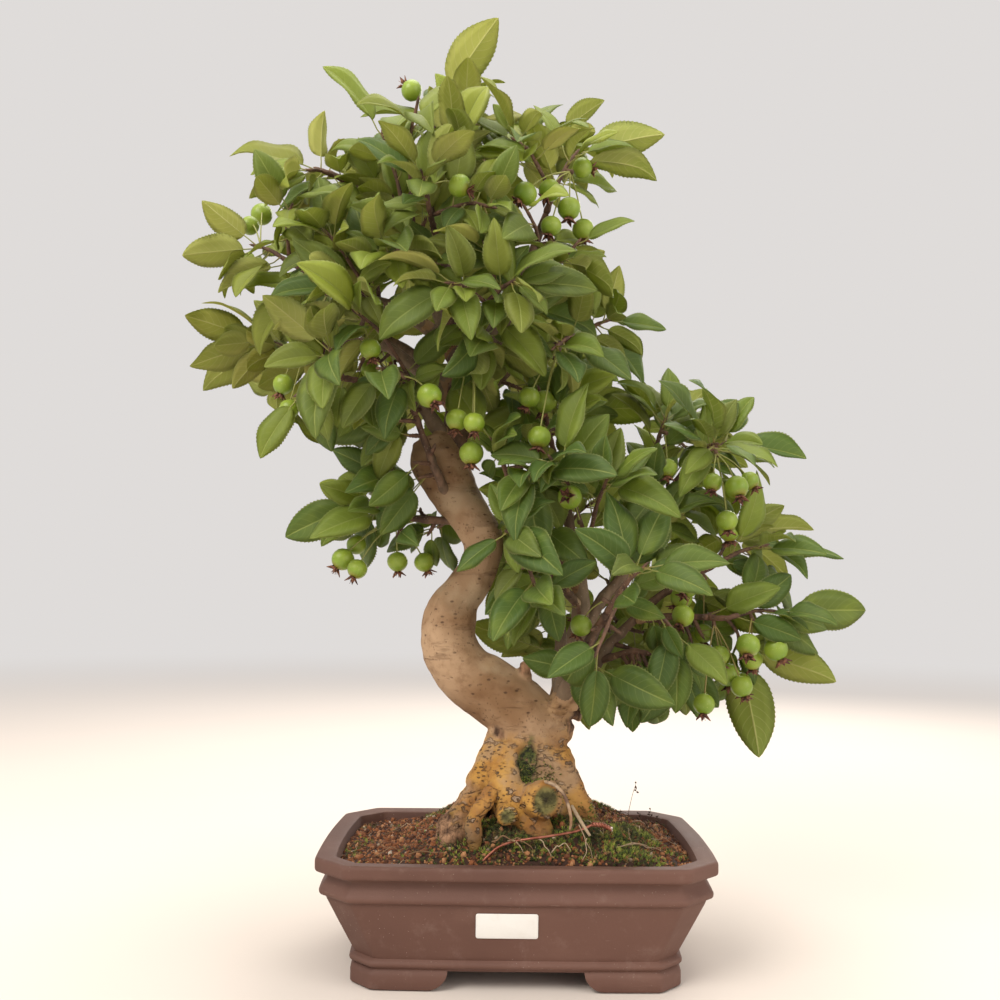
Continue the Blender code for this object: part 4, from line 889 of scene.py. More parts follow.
def stalk_finish():
    """Leaf stalks, apple stalks and young shoots: yellow-green, reddened where they are noted as warm."""
    f = Finish("green_stalk")
    age, warm = f.note("tone", 0), f.note("tone", 2)
    colour = f.mix(age, (0.22, 0.27, 0.05), (0.36, 0.40, 0.10))
    colour = f.mix(warm * 0.85, colour, (0.23, 0.07, 0.035))
    streak = f.noise(260, 2, place=f.stretched((1, 1, 0.25)))
    colour = f.mix(streak * 0.35, colour, (0.13, 0.07, 0.03))
    return f.done(f.skin(colour, 0.55, Normal=f.bump(streak, 0.3, 0.0002)))


def twig_finish():
    """Woody shoots and thin branches: dark red-brown, rough, with pale specks and a grey bloom."""
    f = Finish("twig_bark")
    pale = f.note("bark", 0)
    grain = f.noise(210, 5, place=f.stretched((1, 1, 0.4)))
    colour = f.mix(grain.step(0.3, 0.7), (0.055, 0.027, 0.018), (0.17, 0.085, 0.05))
    colour = f.mix(pale * 0.85, colour, f.mix(grain, (0.12, 0.085, 0.05), (0.29, 0.21, 0.135)))
    speck = f.cells(330).step(0.2, 0.08)
    colour = f.mix(speck * 0.5, colour, (0.36, 0.29, 0.2))
    return f.done(f.skin(colour, 0.78, Normal=f.bump(grain + speck * 0.6, 0.7, 0.0006)))


def bark_finish():
    """The trunk's bark: smooth and tan above, scarred yellow ochre at the foot, olive on the sawn ends."""
    f = Finish("bark")
    ochre, cut, hollow_shade = (f.note("bark", part) for part in range(3))
    torn, middle = (f.note("scar", part) for part in range(2))
    broad = f.noise(16, 3)
    grain = f.noise(85, 6, 0.62)
    fine = f.noise(320, 4)
    tan = f.mix(broad.step(0.36, 0.66), (0.215, 0.118, 0.055), (0.43, 0.285, 0.17))
    tan = f.mix(grain.step(0.48, 0.7) * 0.55, tan, (0.17, 0.085, 0.038))
    tan = f.mix(f.noise(24, 3).step(0.56, 0.72) * 0.45, tan, (0.46, 0.36, 0.235))
    freckle = f.cells(420, place=f.stretched((1, 1, 0.6))).step(0.28, 0.1) * f.noise(60, 2).step(0.4, 0.6)
    tan = f.mix(freckle * 0.6, tan, (0.10, 0.05, 0.025))
    wrinkle = f.noise(120, 4, 0.6, f.stretched((0.2, 0.2, 1))).step(0.55, 0.63)
    wrinkle = wrinkle * f.noise(14, 2).step(0.42, 0.6)
    tan = f.mix(wrinkle * 0.5, tan, (0.13, 0.07, 0.035))
    speck = f.cells(150, place=f.stretched((1, 1, 1.8))).step(0.26, 0.12)
    tan = f.mix(speck * grain.step(0.4, 0.6) * 0.8, tan, (0.07, 0.035, 0.02))
    drift = f.node("ShaderNodeTexNoise", {}, {"Vector": f.place, "Scale": 90.0}, 1)
    drift = f.node("ShaderNodeVectorMath", {"operation": "SCALE"}, {0: drift, "Scale": 0.009})
    warped = f.node("ShaderNodeVectorMath", {"operation": "ADD"}, {0: f.stretched((1, 1, 1.3)), 1: drift})
    lens = f.noise(135, 2.5, 0.5, f.stretched((1, 1, 1.7)))
    inner = lens.step(0.60, 0.65)
    rim = lens.step(0.55, 0.60) * lens.step(0.66, 0.61)
    some = f.noise(38, 3).step(0.40, 0.52)
    yellow = f.mix(f.noise(30, 4).step(0.35, 0.65), (0.31, 0.135, 0.03), (0.55, 0.31, 0.065))
    yellow = f.mix(f.noise(26, 5).step(0.47, 0.6) * 0.85, yellow, (0.34, 0.225, 0.13))
    yellow = f.mix(grain.step(0.5, 0.68) * 0.5, yellow, (0.20, 0.11, 0.06))
    yellow = f.mix(inner * some * 0.8, yellow, (0.32, 0.235, 0.165))
    yellow = f.mix(rim * some * 0.8, yellow, (0.06, 0.034, 0.022))
    fleck = f.cells(250, place=f.stretched((1, 1, 2.1))).step(0.36, 0.22) * f.noise(75, 3).step(0.5, 0.58)
    yellow = f.mix(fleck * 0.8, yellow, (0.06, 0.033, 0.02))
    crack = f.node("ShaderNodeTexVoronoi", {"feature": "DISTANCE_TO_EDGE"}, {"Vector": warped, "Scale": 70.0})
    split = crack.step(0.06, 0.0) * grain.step(0.5, 0.62)
    yellow = f.mix(split * 0.85, yellow, (0.05, 0.025, 0.015))
    # Painted shade: the ochre bark is coloured dark brown low down, close to the soil between the roots
    height = f.node("ShaderNodeSeparateXYZ", {}, {0: f.place}, 2)
    painted_soil_shade = (height + f.noise(45, 3) * 0.03).step(0.128, 0.098)
    yellow = f.mix(painted_soil_shade * 0.7, yellow, (0.06, 0.035, 0.02))
    colour = f.mix(ochre, tan, yellow)
    husk = f.mix(f.noise(75, 6, 0.7, f.stretched((1, 1, 0.35))).step(0.4, 0.6), (0.05, 0.024, 0.014),
                 (0.34, 0.19, 0.105))
    colour = f.mix(torn, colour, husk)
    rings = f.noise(130, 3)
    olive = f.mix(rings.step(0.35, 0.65), (0.055, 0.05, 0.018), (0.20, 0.175, 0.06))
    olive = f.mix(middle.step(0.3, 0.8) * 0.85, olive, (0.028, 0.022, 0.012))
    colour = f.mix(cut, colour, olive)
    # Painted shade in the hollow between two roots: near black, flecked with dark green
    hollow_shade_colour = f.mix(f.noise(400, 3).step(0.4, 0.6), (0.012, 0.014, 0.007), (0.07, 0.085, 0.02))
    colour = f.mix(hollow_shade * f.noise(110, 4).step(0.3, 0.48), colour, hollow_shade_colour)
    fibres = f.noise(120, 5, 0.7, f.stretched((1, 1, 0.3))) * 1.4
    relief = grain * 0.5 + fine * 0.25 - speck * 0.3 - wrinkle * 0.5 + torn * fibres
    relief = relief + ochre * (inner * some * 0.4 - rim * some * 0.8 - split * 1.2 - fleck * 0.7)
    return f.done(f.skin(colour, 0.84 - broad * 0.1, Normal=f.bump(relief, 0.85, 0.0013),
                         Specular_IOR_Level=0.3))


def apple_finish():
    """Unripe apple skin: yellow-green, paler on the lit shoulder, finely dotted, with a soft gloss."""
    f = Finish("apple_skin")
    height = f.note("blade", 0)
    colour = f.mix(f.noise(60, 3).step(0.35, 0.7), (0.15, 0.26, 0.014), (0.25, 0.36, 0.03))
    colour = f.mix(height.step(-0.2, 0.9), f.mix(0.35, colour, (0.36, 0.42, 0.06)), colour)
    colour = f.mix(height.step(0.45, 0.95) * f.noise(35, 2).step(0.35, 0.6) * 0.5, colour, (0.28, 0.13, 0.03))
    dots = f.cells(520).step(0.17, 0.08)
    colour = f.mix(dots * 0.5, colour, (0.5, 0.52, 0.2))
    return f.done(f.skin(colour, 0.34 + f.noise(180, 2) * 0.12, Normal=f.bump(f.noise(500, 2), 0.12, 0.0003),
                         Subsurface_Weight=0.06, Subsurface_Radius=(0.004, 0.004, 0.001)))


def calyx_finish():
    """The dried calyx: crisp brown and red-brown."""
    f = Finish("dry_calyx")
    grain = f.noise(500, 3)
    colour = f.mix(grain.step(0.35, 0.65), (0.055, 0.02, 0.013), (0.27, 0.11, 0.06))
    return f.done(f.skin(colour, 0.8, Normal=f.bump(grain, 0.5, 0.0003)))


def clay_finish():
    """Unglazed purple-brown clay with pale specks, patches of dust, scratches and a lime stain."""
    f = Finish("pot_clay")
    cloud = f.noise(7, 4)
    grain = f.noise(900, 4, 0.7)
    colour = f.mix(cloud.step(0.3, 0.7), (0.098, 0.044, 0.031), (0.135, 0.064, 0.046))
    streaks = f.noise(26, 4, place=f.stretched((0.6, 0.6, 1.6)))
    colour = f.mix(streaks.step(0.5, 0.72) * 0.3, colour, (0.175, 0.092, 0.068))
    dust = f.noise(60, 6, 0.7)
    colour = f.mix(dust.step(0.52, 0.75) * 0.3, colour, (0.24, 0.16, 0.13))
    speck = f.cells(420).step(0.1, 0.04) * f.noise(40, 2).step(0.45, 0.6)
    colour = f.mix(speck * 0.75, colour, (0.55, 0.45, 0.38))
    scratch = f.noise(75, 3, 0.6, f.stretched((0.5, 1, 7.0), (0, -0.35, 0))).step(0.69, 0.74)
    along = f.node("ShaderNodeSeparateXYZ", {}, {0: f.place}, 0)
    scratch = scratch * (along.step(0.016, 0.026) * along.step(0.066, 0.052)).larger(0.12)
    colour = f.mix(scratch * 0.55, colour, (0.40, 0.31, 0.25))
    side = f.node("ShaderNodeVectorMath", {"operation": "DISTANCE"}, {0: f.place, 1: STAIN_PLACE}, 1)
    stain = side.step(0.016, 0.005) * f.noise(170, 4, 0.7).step(0.42, 0.56)
    colour = f.mix(stain * 0.7, colour, (0.50, 0.38, 0.20))
    relief = grain * 0.5 + dust * 0.3 + speck * 0.5
    return f.done(f.skin(colour, 0.56 + dust * 0.2, Normal=f.bump(relief, 0.35, 0.0005),
                         Specular_IOR_Level=0.4))


def grain_finish(name, dark, bright, pale):
    """Loose matter, each grain in a tone of its own."""
    f = Finish(name)
    tone = f.note("tone", 0)
    colour = f.node("ShaderNodeValToRGB", {"stops": ((0.0, dark), (0.72, bright), (1.0, pale))}, {0: tone})
    rough = f.noise(700, 4)
    colour = f.mix(rough * 0.5, colour, dark, "MULTIPLY")
    return f.done(f.skin(colour, 0.92, Normal=f.bump(rough, 0.8, 0.0006)))


def moss_finish():
    f = Finish("moss")
    tone = f.note("tone", 0)
    colour = f.node("ShaderNodeValToRGB", {"stops": (
        (0.0, (0.018, 0.024, 0.007)), (0.35, (0.055, 0.08, 0.013)), (0.7, (0.17, 0.22, 0.025)),
        (0.88, (0.34, 0.37, 0.055)), (1.0, (0.26, 0.15, 0.06)))}, {0: tone})
    colour = f.mix(f.noise(45, 3).step(0.5, 0.62) * 0.7, colour, (0.03, 0.028, 0.011))
    colour = f.mix(f.noise(70, 2).step(0.6, 0.68) * 0.6, colour, (0.14, 0.075, 0.03))
    return f.done(f.skin(colour, 0.85))


def copper_finish():
    f = Finish("copper")
    wear = f.noise(140, 4)
    colour = f.mix(wear.step(0.35, 0.7), (0.20, 0.06, 0.036), (0.40, 0.155, 0.105))
    scuff = f.noise(600, 2, place=f.stretched((1, 1, 4)))
    return f.done(f.skin(colour, 0.34 + scuff * 0.2, Metallic=0.7, Normal=f.bump(scuff, 0.15, 0.0002)))


def bright_cut_finish():
    f = Finish("fresh_cut_copper")
    scuff = f.noise(900, 2)
    return f.done(f.skin(f.mix(scuff, (0.75, 0.62, 0.55), (0.85, 0.75, 0.7)), 0.3, Metallic=0.9,
                         Normal=f.bump(scuff, 0.2, 0.0001)))


def root_finish():
    """A bare root's skin: knobbly grey-tan with reddish patches."""
    f = Finish("root_skin")
    grain = f.noise(180, 5)
    colour = f.mix(grain.step(0.35, 0.65), (0.13, 0.07, 0.045), (0.40, 0.29, 0.19))
    colour = f.mix(f.noise(70, 2).step(0.5, 0.65) * 0.5, colour, (0.33, 0.17, 0.07))
    return f.done(f.skin(colour, 0.8, Normal=f.bump(grain, 0.8, 0.0008)))


def label_finish():
    """Plain white paper, a little yellowed and scuffed in patches."""
    f = Finish("label_paper")
    fibre = f.noise(900, 3, place=f.stretched((1, 1, 2)))
    colour = f.mix(f.noise(70, 3).step(0.5, 0.8) * 0.5, (0.80, 0.79, 0.76), (0.66, 0.62, 0.55))
    colour = f.mix(fibre * 0.12, colour, (0.5, 0.46, 0.4))
    return f.done(f.skin(colour, 0.5, Normal=f.bump(fibre, 0.1, 0.0002)))


def floor_finish():
    """Matt and pale near the pot, and fading into the room's own light far from it."""
    f = Finish("pale_floor")
    colour = f.mix(f.noise(2.5, 2), (0.67, 0.605, 0.55), (0.70, 0.635, 0.585))
    away = f.node("ShaderNodeVectorMath", {"operation": "LENGTH"}, {0: f.place}, 1)
    far = away.step(0.7, 3.6)
    colour = f.mix(far, colour, (0.0, 0.0, 0.0))
    glow = f.mix(far, (0.0, 0.0, 0.0), ROOM_LIGHT)
    return f.done(f.skin(colour, 0.85, Emission_Color=glow, Emission_Strength=1.0, Specular_IOR_Level=0.0))


class Build:
    """A mesh being put together: its corners, what is noted of each, and its faces with their finish."""

    def __init__(self, *notes):
        self.corners = []
        self.notes = {name: [] for name in notes}
        self.faces = []
        self.kinds = []

    def add(self, corners, faces, kind=0, **notes):
        """Adds a closed part; each note is one row of three for all its corners, or one row a corner."""
        at = len(self.corners)
        self.corners += [tuple(corner) for corner in corners]
        self.faces += [tuple(at + i for i in face) for face in faces]
        self.kinds += [kind] * len(faces) if isinstance(kind, int) else list(kind)
        for name, kept in self.notes.items():
            rows = np.broadcast_to(np.array(notes.get(name, (0, 0, 0)), float), (len(self.corners) - at, 3))
            kept.append(rows)

    def piece(self, name, finishes, slot, replaced=(), creased=None):
        """The finished piece; creased marks corners, and an edge between two of them stays sharp."""
        obj = new_object(name, self.corners, self.faces)
        mesh = obj.data
        for finish in finishes:
            mesh.materials.append(finish)
        mesh.polygons.foreach_set("material_index", self.kinds)
        mesh.polygons.foreach_set("use_smooth", [True] * len(self.faces))
        for note, rows in self.notes.items():
            kept = mesh.attributes.new(note, "FLOAT_VECTOR", "POINT")
            kept.data.foreach_set("vector", np.concatenate(rows).astype(np.float32).ravel())
        if creased is not None:
            ends = np.zeros(len(mesh.edges) * 2, np.int32)
            mesh.edges.foreach_get("vertices", ends)
            marked = np.concatenate(creased)[ends.reshape(-1, 2)].all(axis=1)
            sharp = mesh.attributes.new("sharp_edge", "BOOLEAN", "EDGE")
            sharp.data.foreach_set("value", marked)
        mesh.update()
        return settle(obj, replaced)


def new_object(name, corners, faces):
    """An object in the scene, with a mesh of its own."""
    mesh = bpy.data.meshes.new(name)
    mesh.from_pydata(corners, [], faces)
    obj = bpy.data.objects.new(name, mesh)
    bpy.context.scene.collection.objects.link(obj)
    return obj


def new_solid(name, corners, faces):
    """A closed object whose faces point outward."""
    obj = new_object(name, corners, faces)
    bm = bmesh.new()
    bm.from_mesh(obj.data)
    bmesh.ops.recalc_face_normals(bm, faces=bm.faces)
    bm.to_mesh(obj.data)
    bm.free()
    return obj


def modify(obj, kind, **settings):
    made = obj.modifiers.new(kind.lower(), kind)
    for name, value in settings.items():
        setattr(made, name, value)
    return made


def fixed(obj):
    """The object's mesh with its modifiers worked in."""
    graph = bpy.context.evaluated_depsgraph_get()
    mesh = bpy.data.meshes.new_from_object(obj.evaluated_get(graph))
    obj.modifiers.clear()
    obj.data = mesh
    return mesh


def settle(obj, replaced=()):
    """Has a finished piece ride on the part's one body, and hides the nodes that it stands for."""
    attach(obj, "root")
    if replaced:
        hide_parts(*replaced)
    return obj


def tube(path, sides):
    """Corners and faces of a round closed tube along a path of points and radii."""
    points = [point for point, _ in path]
    corners = []
    side = None
    for i, (point, radius) in enumerate(path):
        along = (points[min(i + 1, len(path) - 1)] - points[max(i - 1, 0)]).normalized()
        side = side or along.orthogonal()
        side = (side - along * side.dot(along)).normalized()
        corners += ring_round(point, along, radius, sides, side)
    return corners, stacked(sides, len(path))


def finer(path, steps):
    """A smoother path through a path's own points."""
    return smooth([(*(point / MM), radius / MM) for point, radius in path], steps)


# The crown


class FullGrowth(Growth):
    """The same growth, and then the leaves that the solids leave out."""

    def grow_spurs(self):
        """Short leafy spurs on the branches, where there is room for them."""
        self.spurs = []
        rng = random.Random(23)
        for name in BRANCHES:
            path = self.wood[name]
            for share in SPUR_SHARES:
                place, thickness, along = place_along(path, share + rng.uniform(-0.05, 0.05))
                out = self.outward(place) + Vector([rng.uniform(-0.7, 0.7) for _ in range(3)])
                out = (out - along * out.dot(along)).normalized()
                base = place + out * (0.6 * thickness)
                tip = base + (out + along * 0.4).normalized() * (thickness + rng.uniform(*SPUR_LENGTH) * MM)
                spur = Spray("spur")
                spur.shoots = [[(base, 1.6 * MM), (base.lerp(tip, 0.6), 1.4 * MM), (tip, 1.1 * MM)]]
                outer = [(base.lerp(tip, 0.5), 1.5 * MM), (tip, 1.5 * MM)]
                if self.clear(tube_shell("spur", outer, 6), ("wood",)):
                    self.spurs.append(spur)

    def grow_more_leaves(self):
        """Leaves on the further buds, none of them in front of the risers' lower ends."""
        low, high = (height * MM for height in RISER_HEIGHTS)
        for name in SEEN_RISERS:
            self.shown += [(place, radius) for place, radius in self.wood[name] if low < place.z < high]
        rng = random.Random(11)
        for order, share in enumerate(MORE_BUDS):
            for spray in self.sprays:
                for number, shoot in enumerate(spray.shoots):
                    turn = 2.4 * order + 1.1 * number + rng.uniform(-0.7, 0.7)
                    lean = 1.05 + rng.uniform(-0.3, 0.25)
                    self.bud_leaf(spray, shoot, share, turn, lean, rng.uniform(26, 46) * MM, rng)
            for number, spur in enumerate(self.spurs):
                if order < len(SPUR_BUDS):
                    turn = 2.4 * order + 1.3 * number + rng.uniform(-0.7, 0.7)
                    lean = 0.9 + rng.uniform(-0.35, 0.35)
                    size = rng.uniform(26, 50) * MM
                    self.bud_leaf(spur, spur.shoots[0], SPUR_BUDS[order], turn, lean, size, rng)


def margin(near, far, edge, right):
    """Triangles between an inner stretch of a blade, near to far, and the toothed edge beside it."""
    faces = [(near, edge[0], edge[1]), (near, edge[1], edge[2]), (near, edge[2], far),
             (far, edge[2], edge[3]), (far, edge[3], edge[4])]
    return faces if right else [tuple(reversed(face)) for face in faces]


def blade_pattern():
    """The faces of every blade, by corner number, and which of them are its underside.

    Each row has its upper corners across, left to right, and then its three lower ones; the teeth of each
    margin stretch follow all the rows, and the two ends come last.
    """
    rows = BLADE_ROWS + 1
    teeth = 8 * rows
    ends = teeth + 2 * 3 * BLADE_ROWS
    upper, lower = [], []
    for r in range(BLADE_ROWS):
        a, b = 8 * r, 8 * (r + 1)
        left = [a] + [teeth + 6 * r + k for k in range(3)] + [b]
        right = [a + 4] + [teeth + 6 * r + 3 + k for k in range(3)] + [b + 4]
        upper += [(a + 1, a + 2, b + 2, b + 1), (a + 2, a + 3, b + 3, b + 2)]
        lower += [(a + 6, a + 5, b + 5, b + 6), (a + 7, a + 6, b + 6, b + 7)]
        upper += margin(a + 1, b + 1, left, False) + margin(a + 3, b + 3, right, True)
        lower += margin(a + 5, b + 5, left, True) + margin(a + 7, b + 7, right, False)
    last = 8 * BLADE_ROWS
    upper += [(ends, 1, 0), (ends, 2, 1), (ends, 3, 2), (ends, 4, 3)]
    lower += [(ends, 0, 5), (ends, 5, 6), (ends, 6, 7), (ends, 7, 4)]
    upper += [(ends + 1, last + i, last + i + 1) for i in range(4)]
    lower += [(ends + 1, last + 5, last), (ends + 1, last + 6, last + 5), (ends + 1, last + 7, last + 6),
              (ends + 1, last + 4, last + 7)]
    return upper, lower


UPPER_FACES, LOWER_FACES = blade_pattern()


def seen_blade(leaf, rng):
    """A leaf's blade with its toothed, slightly waved margin: corners, and each one's place on the blade."""
    ripple, phase = rng.uniform(0.04, 0.16), rng.uniform(0, 6.28)
    cup, twist = rng.uniform(0.1, 0.5), rng.uniform(-0.45, 0.45)
    curl = rng.uniform(-0.1, 1.7)
    side, up, heading = (np.array(v) for v in (leaf.side, leaf.face, leaf.heading))
    blade = np.array(leaf.blade)

    def spot(u, v, lower):
        half = leaf.half_width(u) * (1 - 0.35 * np.maximum(u - 0.72, 0))
        drop = 0.5 * leaf.droop * u * u + curl * np.maximum(u - 0.72, 0) ** 2
        middle = blade + (np.outer(u, heading) - np.outer(drop, up)) * leaf.length
        along = heading - np.outer(leaf.droop * u, up)
        along /= np.linalg.norm(along, axis=1)[:, None]
        face = np.cross(side, along)
        turn = twist * u
        across = np.outer(np.cos(turn), side) + face * np.sin(turn)[:, None]
        face = face * np.cos(turn)[:, None] - np.outer(np.sin(turn), side)
        wide = np.abs(v)
        lift = np.sin(leaf.fold) * 1.75 * wide - cup * wide * wide
        lift += ripple * np.sin(9.0 * u + phase + np.where(v > 0, 0, 2.0)) * wide * wide
        place = middle + across * (v * half * math.cos(leaf.fold))[:, None] + face * (lift * half)[:, None]
        rib = np.where(wide < 0.1, 1.0, 0.0) * (1 - u)
        down = np.where(lower, SEEN_THICKNESS * MM + MIDRIB_DEPTH * MM * rib, 0.25 * MM * rib)
        down = np.where(wide > 0.99, 0.5 * SEEN_THICKNESS * MM, down)
        return place - face * down[:, None]

    rows = np.linspace(0.02, 0.975, BLADE_ROWS + 1)
    u = np.repeat(rows, 8)
    v = np.tile([-1, -0.5, 0, 0.5, 1, -0.5, 0, 0.5], BLADE_ROWS + 1)
    lower = np.tile([0, 0, 0, 0, 0, 1, 1, 1], BLADE_ROWS + 1) > 0
    gap = rows[1] - rows[0]
    tooth_u = (rows[:-1, None] + gap * np.array([0.40, 0.5, 0.9] * 2)).ravel()
    tall = 1 + TOOTH * MM / (0.25 * leaf.length) * np.array([1, 0, 1] * 2)
    tooth_v = np.tile([-1, -1, -1, 1, 1, 1] * tall, BLADE_ROWS)
    u = np.concatenate([u, tooth_u, [0.0, 1.0]])
    v = np.concatenate([v, tooth_v, [0, 0]])
    lower = np.concatenate([lower, np.zeros(len(tooth_u) + 2, bool)])
    notes = np.stack([u, v, np.full(len(u), leaf.length)], axis=1)
    return spot(np.clip(u, 1e-4, 1), v, lower), notes, np.abs(v) < 0.01


def seen_leaf(build, creases, leaf, rng, tone, on_wood):
    """Adds a leaf: its blade, and its stalk running on under the blade as the midrib."""
    corners, notes, rib = seen_blade(leaf, rng)
    kinds = [0] * len(UPPER_FACES) + [1] * len(LOWER_FACES)
    build.add(corners, UPPER_FACES + LOWER_FACES, kinds, blade=notes, tone=tone)
    creases.append(rib)
    root, blade = leaf.root, leaf.blade
    sag = leaf.face * (0.06 * (blade - root).length)
    inner, _ = leaf.middle(0.12)
    path = [(root, 0.75 * MM), (root.lerp(blade, 0.15), 0.6 * MM), (root.lerp(blade, 0.55) - sag, 0.46 * MM),
            (blade - leaf.face * (0.35 * MM), 0.5 * MM), (inner - leaf.face * (0.6 * MM), 0.3 * MM)]
    corners, faces = tube(path, 5)
    warm = np.repeat([0.9, 0.55, 0.15, 0.05, 0.0], 5) * on_wood
    build.add(corners, faces, 2, tone=np.stack([np.full(25, tone[0]), np.full(25, 0.5), warm], axis=1))
    creases.append(np.zeros(25, bool))


def leaf_tone(leaf, rng):
    """A leaf's age, a chance shade and its warmth: leaves grow paler and warmer toward the crown's top and
    its left side.
    """
    high = (leaf.blade.z / MM - 400) / 250
    left = max(-leaf.blade.x / MM - 90, 0) / 150
    age = min(max(rng.gauss(0.28 + 0.42 * high + 0.35 * left, 0.28), 0), 1)
    return age, rng.random(), max(0.0, rng.gauss(-0.1 + 0.4 * left + 0.2 * high, 0.24))


def seen_shoot(build, creases, path, rng):
    """A twig: thick at its foot, with a small swelling at each leaf and a bud at its tip."""
    swollen = []
    for i, (point, radius) in enumerate(finer(path, 4)):
        bump = 0.25 if i % 2 else 0.0
        swollen.append((point + anyhow(rng) * (0.12 * MM), radius * (1.0 + bump)))
    tip, radius = swollen[-1]
    along = (tip - swollen[-2][0]).normalized()
    swollen += [(tip + along * (1.6 * MM), 1.15 * radius), (tip + along * (3.6 * MM), 0.9 * radius),
                (tip + along * (5.6 * MM), 0.1 * radius)]
    corners, faces = tube(swollen, 7)
    share = np.repeat(np.linspace(0, 1, len(swollen)), 7)
    build.add(corners, faces, 3, bark=np.stack([0.15 * share, share, share * 0], axis=1))
    creases.append(np.zeros(len(corners), bool))


def build_leafy(name, shoots, leaves, replaced, finishes, rng):
    build = Build("blade", "tone", "bark")
    creases = []
    for path in shoots:
        seen_shoot(build, creases, path, rng)
    for leaf in leaves:
        seen_leaf(build, creases, leaf, rng, leaf_tone(leaf, rng), 1.0)
    return build.piece(name, finishes, "leaf", replaced, creases)


def build_crown(growth):
    finishes = (
        leaf_finish("leaf_upper", (0.066, 0.125, 0.022), (0.33, 0.40, 0.05), (0.42, 0.47, 0.14), False),
        leaf_finish("leaf_under", (0.29, 0.34, 0.085), (0.60, 0.58, 0.17), (0.66, 0.63, 0.27), True),
        stalk_finish(),
        twig_finish(),
    )
    for spray in growth.sprays:
        rng = random.Random(sum(map(ord, spray.name)) * 31)
        build_leafy(spray.name + "_leaves", spray.shoots, spray.leaves, (spray.name,), finishes, rng)
    rng = random.Random(41)
    shoots = [path for spur in growth.spurs for path in spur.shoots]
    leaves = [leaf for spur in growth.spurs for leaf in spur.leaves]
    build_leafy("spur_leaves", shoots, leaves, (), finishes, rng)


# The apples

# Half an apple's section: heights along its axis and how wide it is there, as shares of its radius
APPLE_PROFILE = (
    (-1.0, 0.10), (-0.93, 0.26), (-0.86, 0.46), (-0.72, 0.69), (-0.45, 0.91), (-0.1, 1.0), (0.25, 0.96),
    (0.55, 0.80), (0.78, 0.58), (0.88, 0.40), (0.86, 0.24), (0.80, 0.12),
)


def seen_apple(build, apple, rng, warm):
    """One apple: its body, its bowed stalk, and the sepals and withered threads of its calyx."""
    (root, top), middle, axis, radius = apple
    side = axis.orthogonal().normalized()
    second = axis.cross(side)
    sides = 18
    corners, notes = [], []
    lean = rng.uniform(-0.05, 0.05)
    for height, wide in APPLE_PROFILE:
        for k in range(sides):
            turn = 2 * math.pi * k / sides
            swell = 1 + 0.018 * math.cos(5 * turn) * max(height, 0) + lean * math.cos(turn) * height
            out = (side * math.cos(turn) + second * math.sin(turn)) * (wide * radius * swell)
            corners.append(middle + axis * (height * radius) + out)
            notes.append((height, turn, 0.5))
    build.add(corners, stacked(sides, len(APPLE_PROFILE)), 0, blade=notes)
    bow = UP * (0.10 * (top - root).length)
    seat = middle - axis * (0.9 * radius)
    path = [(root, 0.8 * MM), (root.lerp(top, 0.2) + bow * 0.5, 0.58 * MM),
            (root.lerp(top, 0.6) + bow, 0.48 * MM), (top + bow * 0.2, 0.55 * MM), (seat, 0.75 * MM)]
    build.add(*tube(finer(path, 2), 6), 1, tone=(0.7, 0.5, warm))
    neck = middle + axis * (0.80 * radius)
    for k in range(5):
        turn = 2 * math.pi * (k + rng.uniform(-0.15, 0.15)) / 5
        out = side * math.cos(turn) + second * math.sin(turn)
        flat = axis.cross(out)
        spread = rng.uniform(0.3, 1.5)
        root_point = neck + out * (0.18 * radius)
        bend = root_point + axis * (0.34 * radius) + out * (0.15 * radius)
        way = (axis * rng.uniform(0.2, 0.9) + out * spread + flat * rng.uniform(-0.4, 0.4)).normalized()
        end = bend + way * (0.52 * radius)
        wide = flat * (0.16 * radius)
        thin = (axis - out * 0.5).normalized() * (0.25 * MM)
        sepal = [root_point - wide, root_point + wide, bend + wide * 1.2, end, bend - wide * 1.2]
        corners = [p + thin for p in sepal] + [p - thin for p in sepal]
        ring = [(i, (i + 1) % 5, 5 + (i + 1) % 5, 5 + i) for i in range(5)]
        build.add(corners, [tuple(reversed(range(5))), tuple(range(5, 10))] + ring, 2)
    for k in range(11):
        out = (axis * 1.3 + anyhow(rng)).normalized()
        tip = neck + out * (rng.uniform(0.4, 0.85) * radius)
        build.add(*tube([(neck, 0.4 * MM), (tip, 0.16 * MM)], 3), 2)


def build_apples(growth):
    made = bpy.data.materials
    finishes = (apple_finish(), made["green_stalk"], calyx_finish(), made["twig_bark"])
    for bunch in growth.bunches:
        rng = random.Random(900 + len(bunch.name) + int(bunch.name[-2:]))
        build = Build("blade", "tone", "bark")
        (base, _), (end, thick) = bunch.knob
        root = base + (base - end).normalized() * (1.5 * MM)
        knob = [(root, 1.6 * MM), (base, 1.3 * MM), (end, thick), (end + (end - base) * 0.25, 0.9 * MM)]
        build.add(*tube(finer(knob, 3), 8), 3, bark=(0.2, 0.5, 0))
        warm = 0.55 if bunch.name in ("fruit_15", "fruit_16", "fruit_13") else 0.12
        for apple in bunch.apples:
            seen_apple(build, apple, rng, warm)
        build.piece(bunch.name + "_apples", finishes, "apple", (bunch.name,))


# The wood

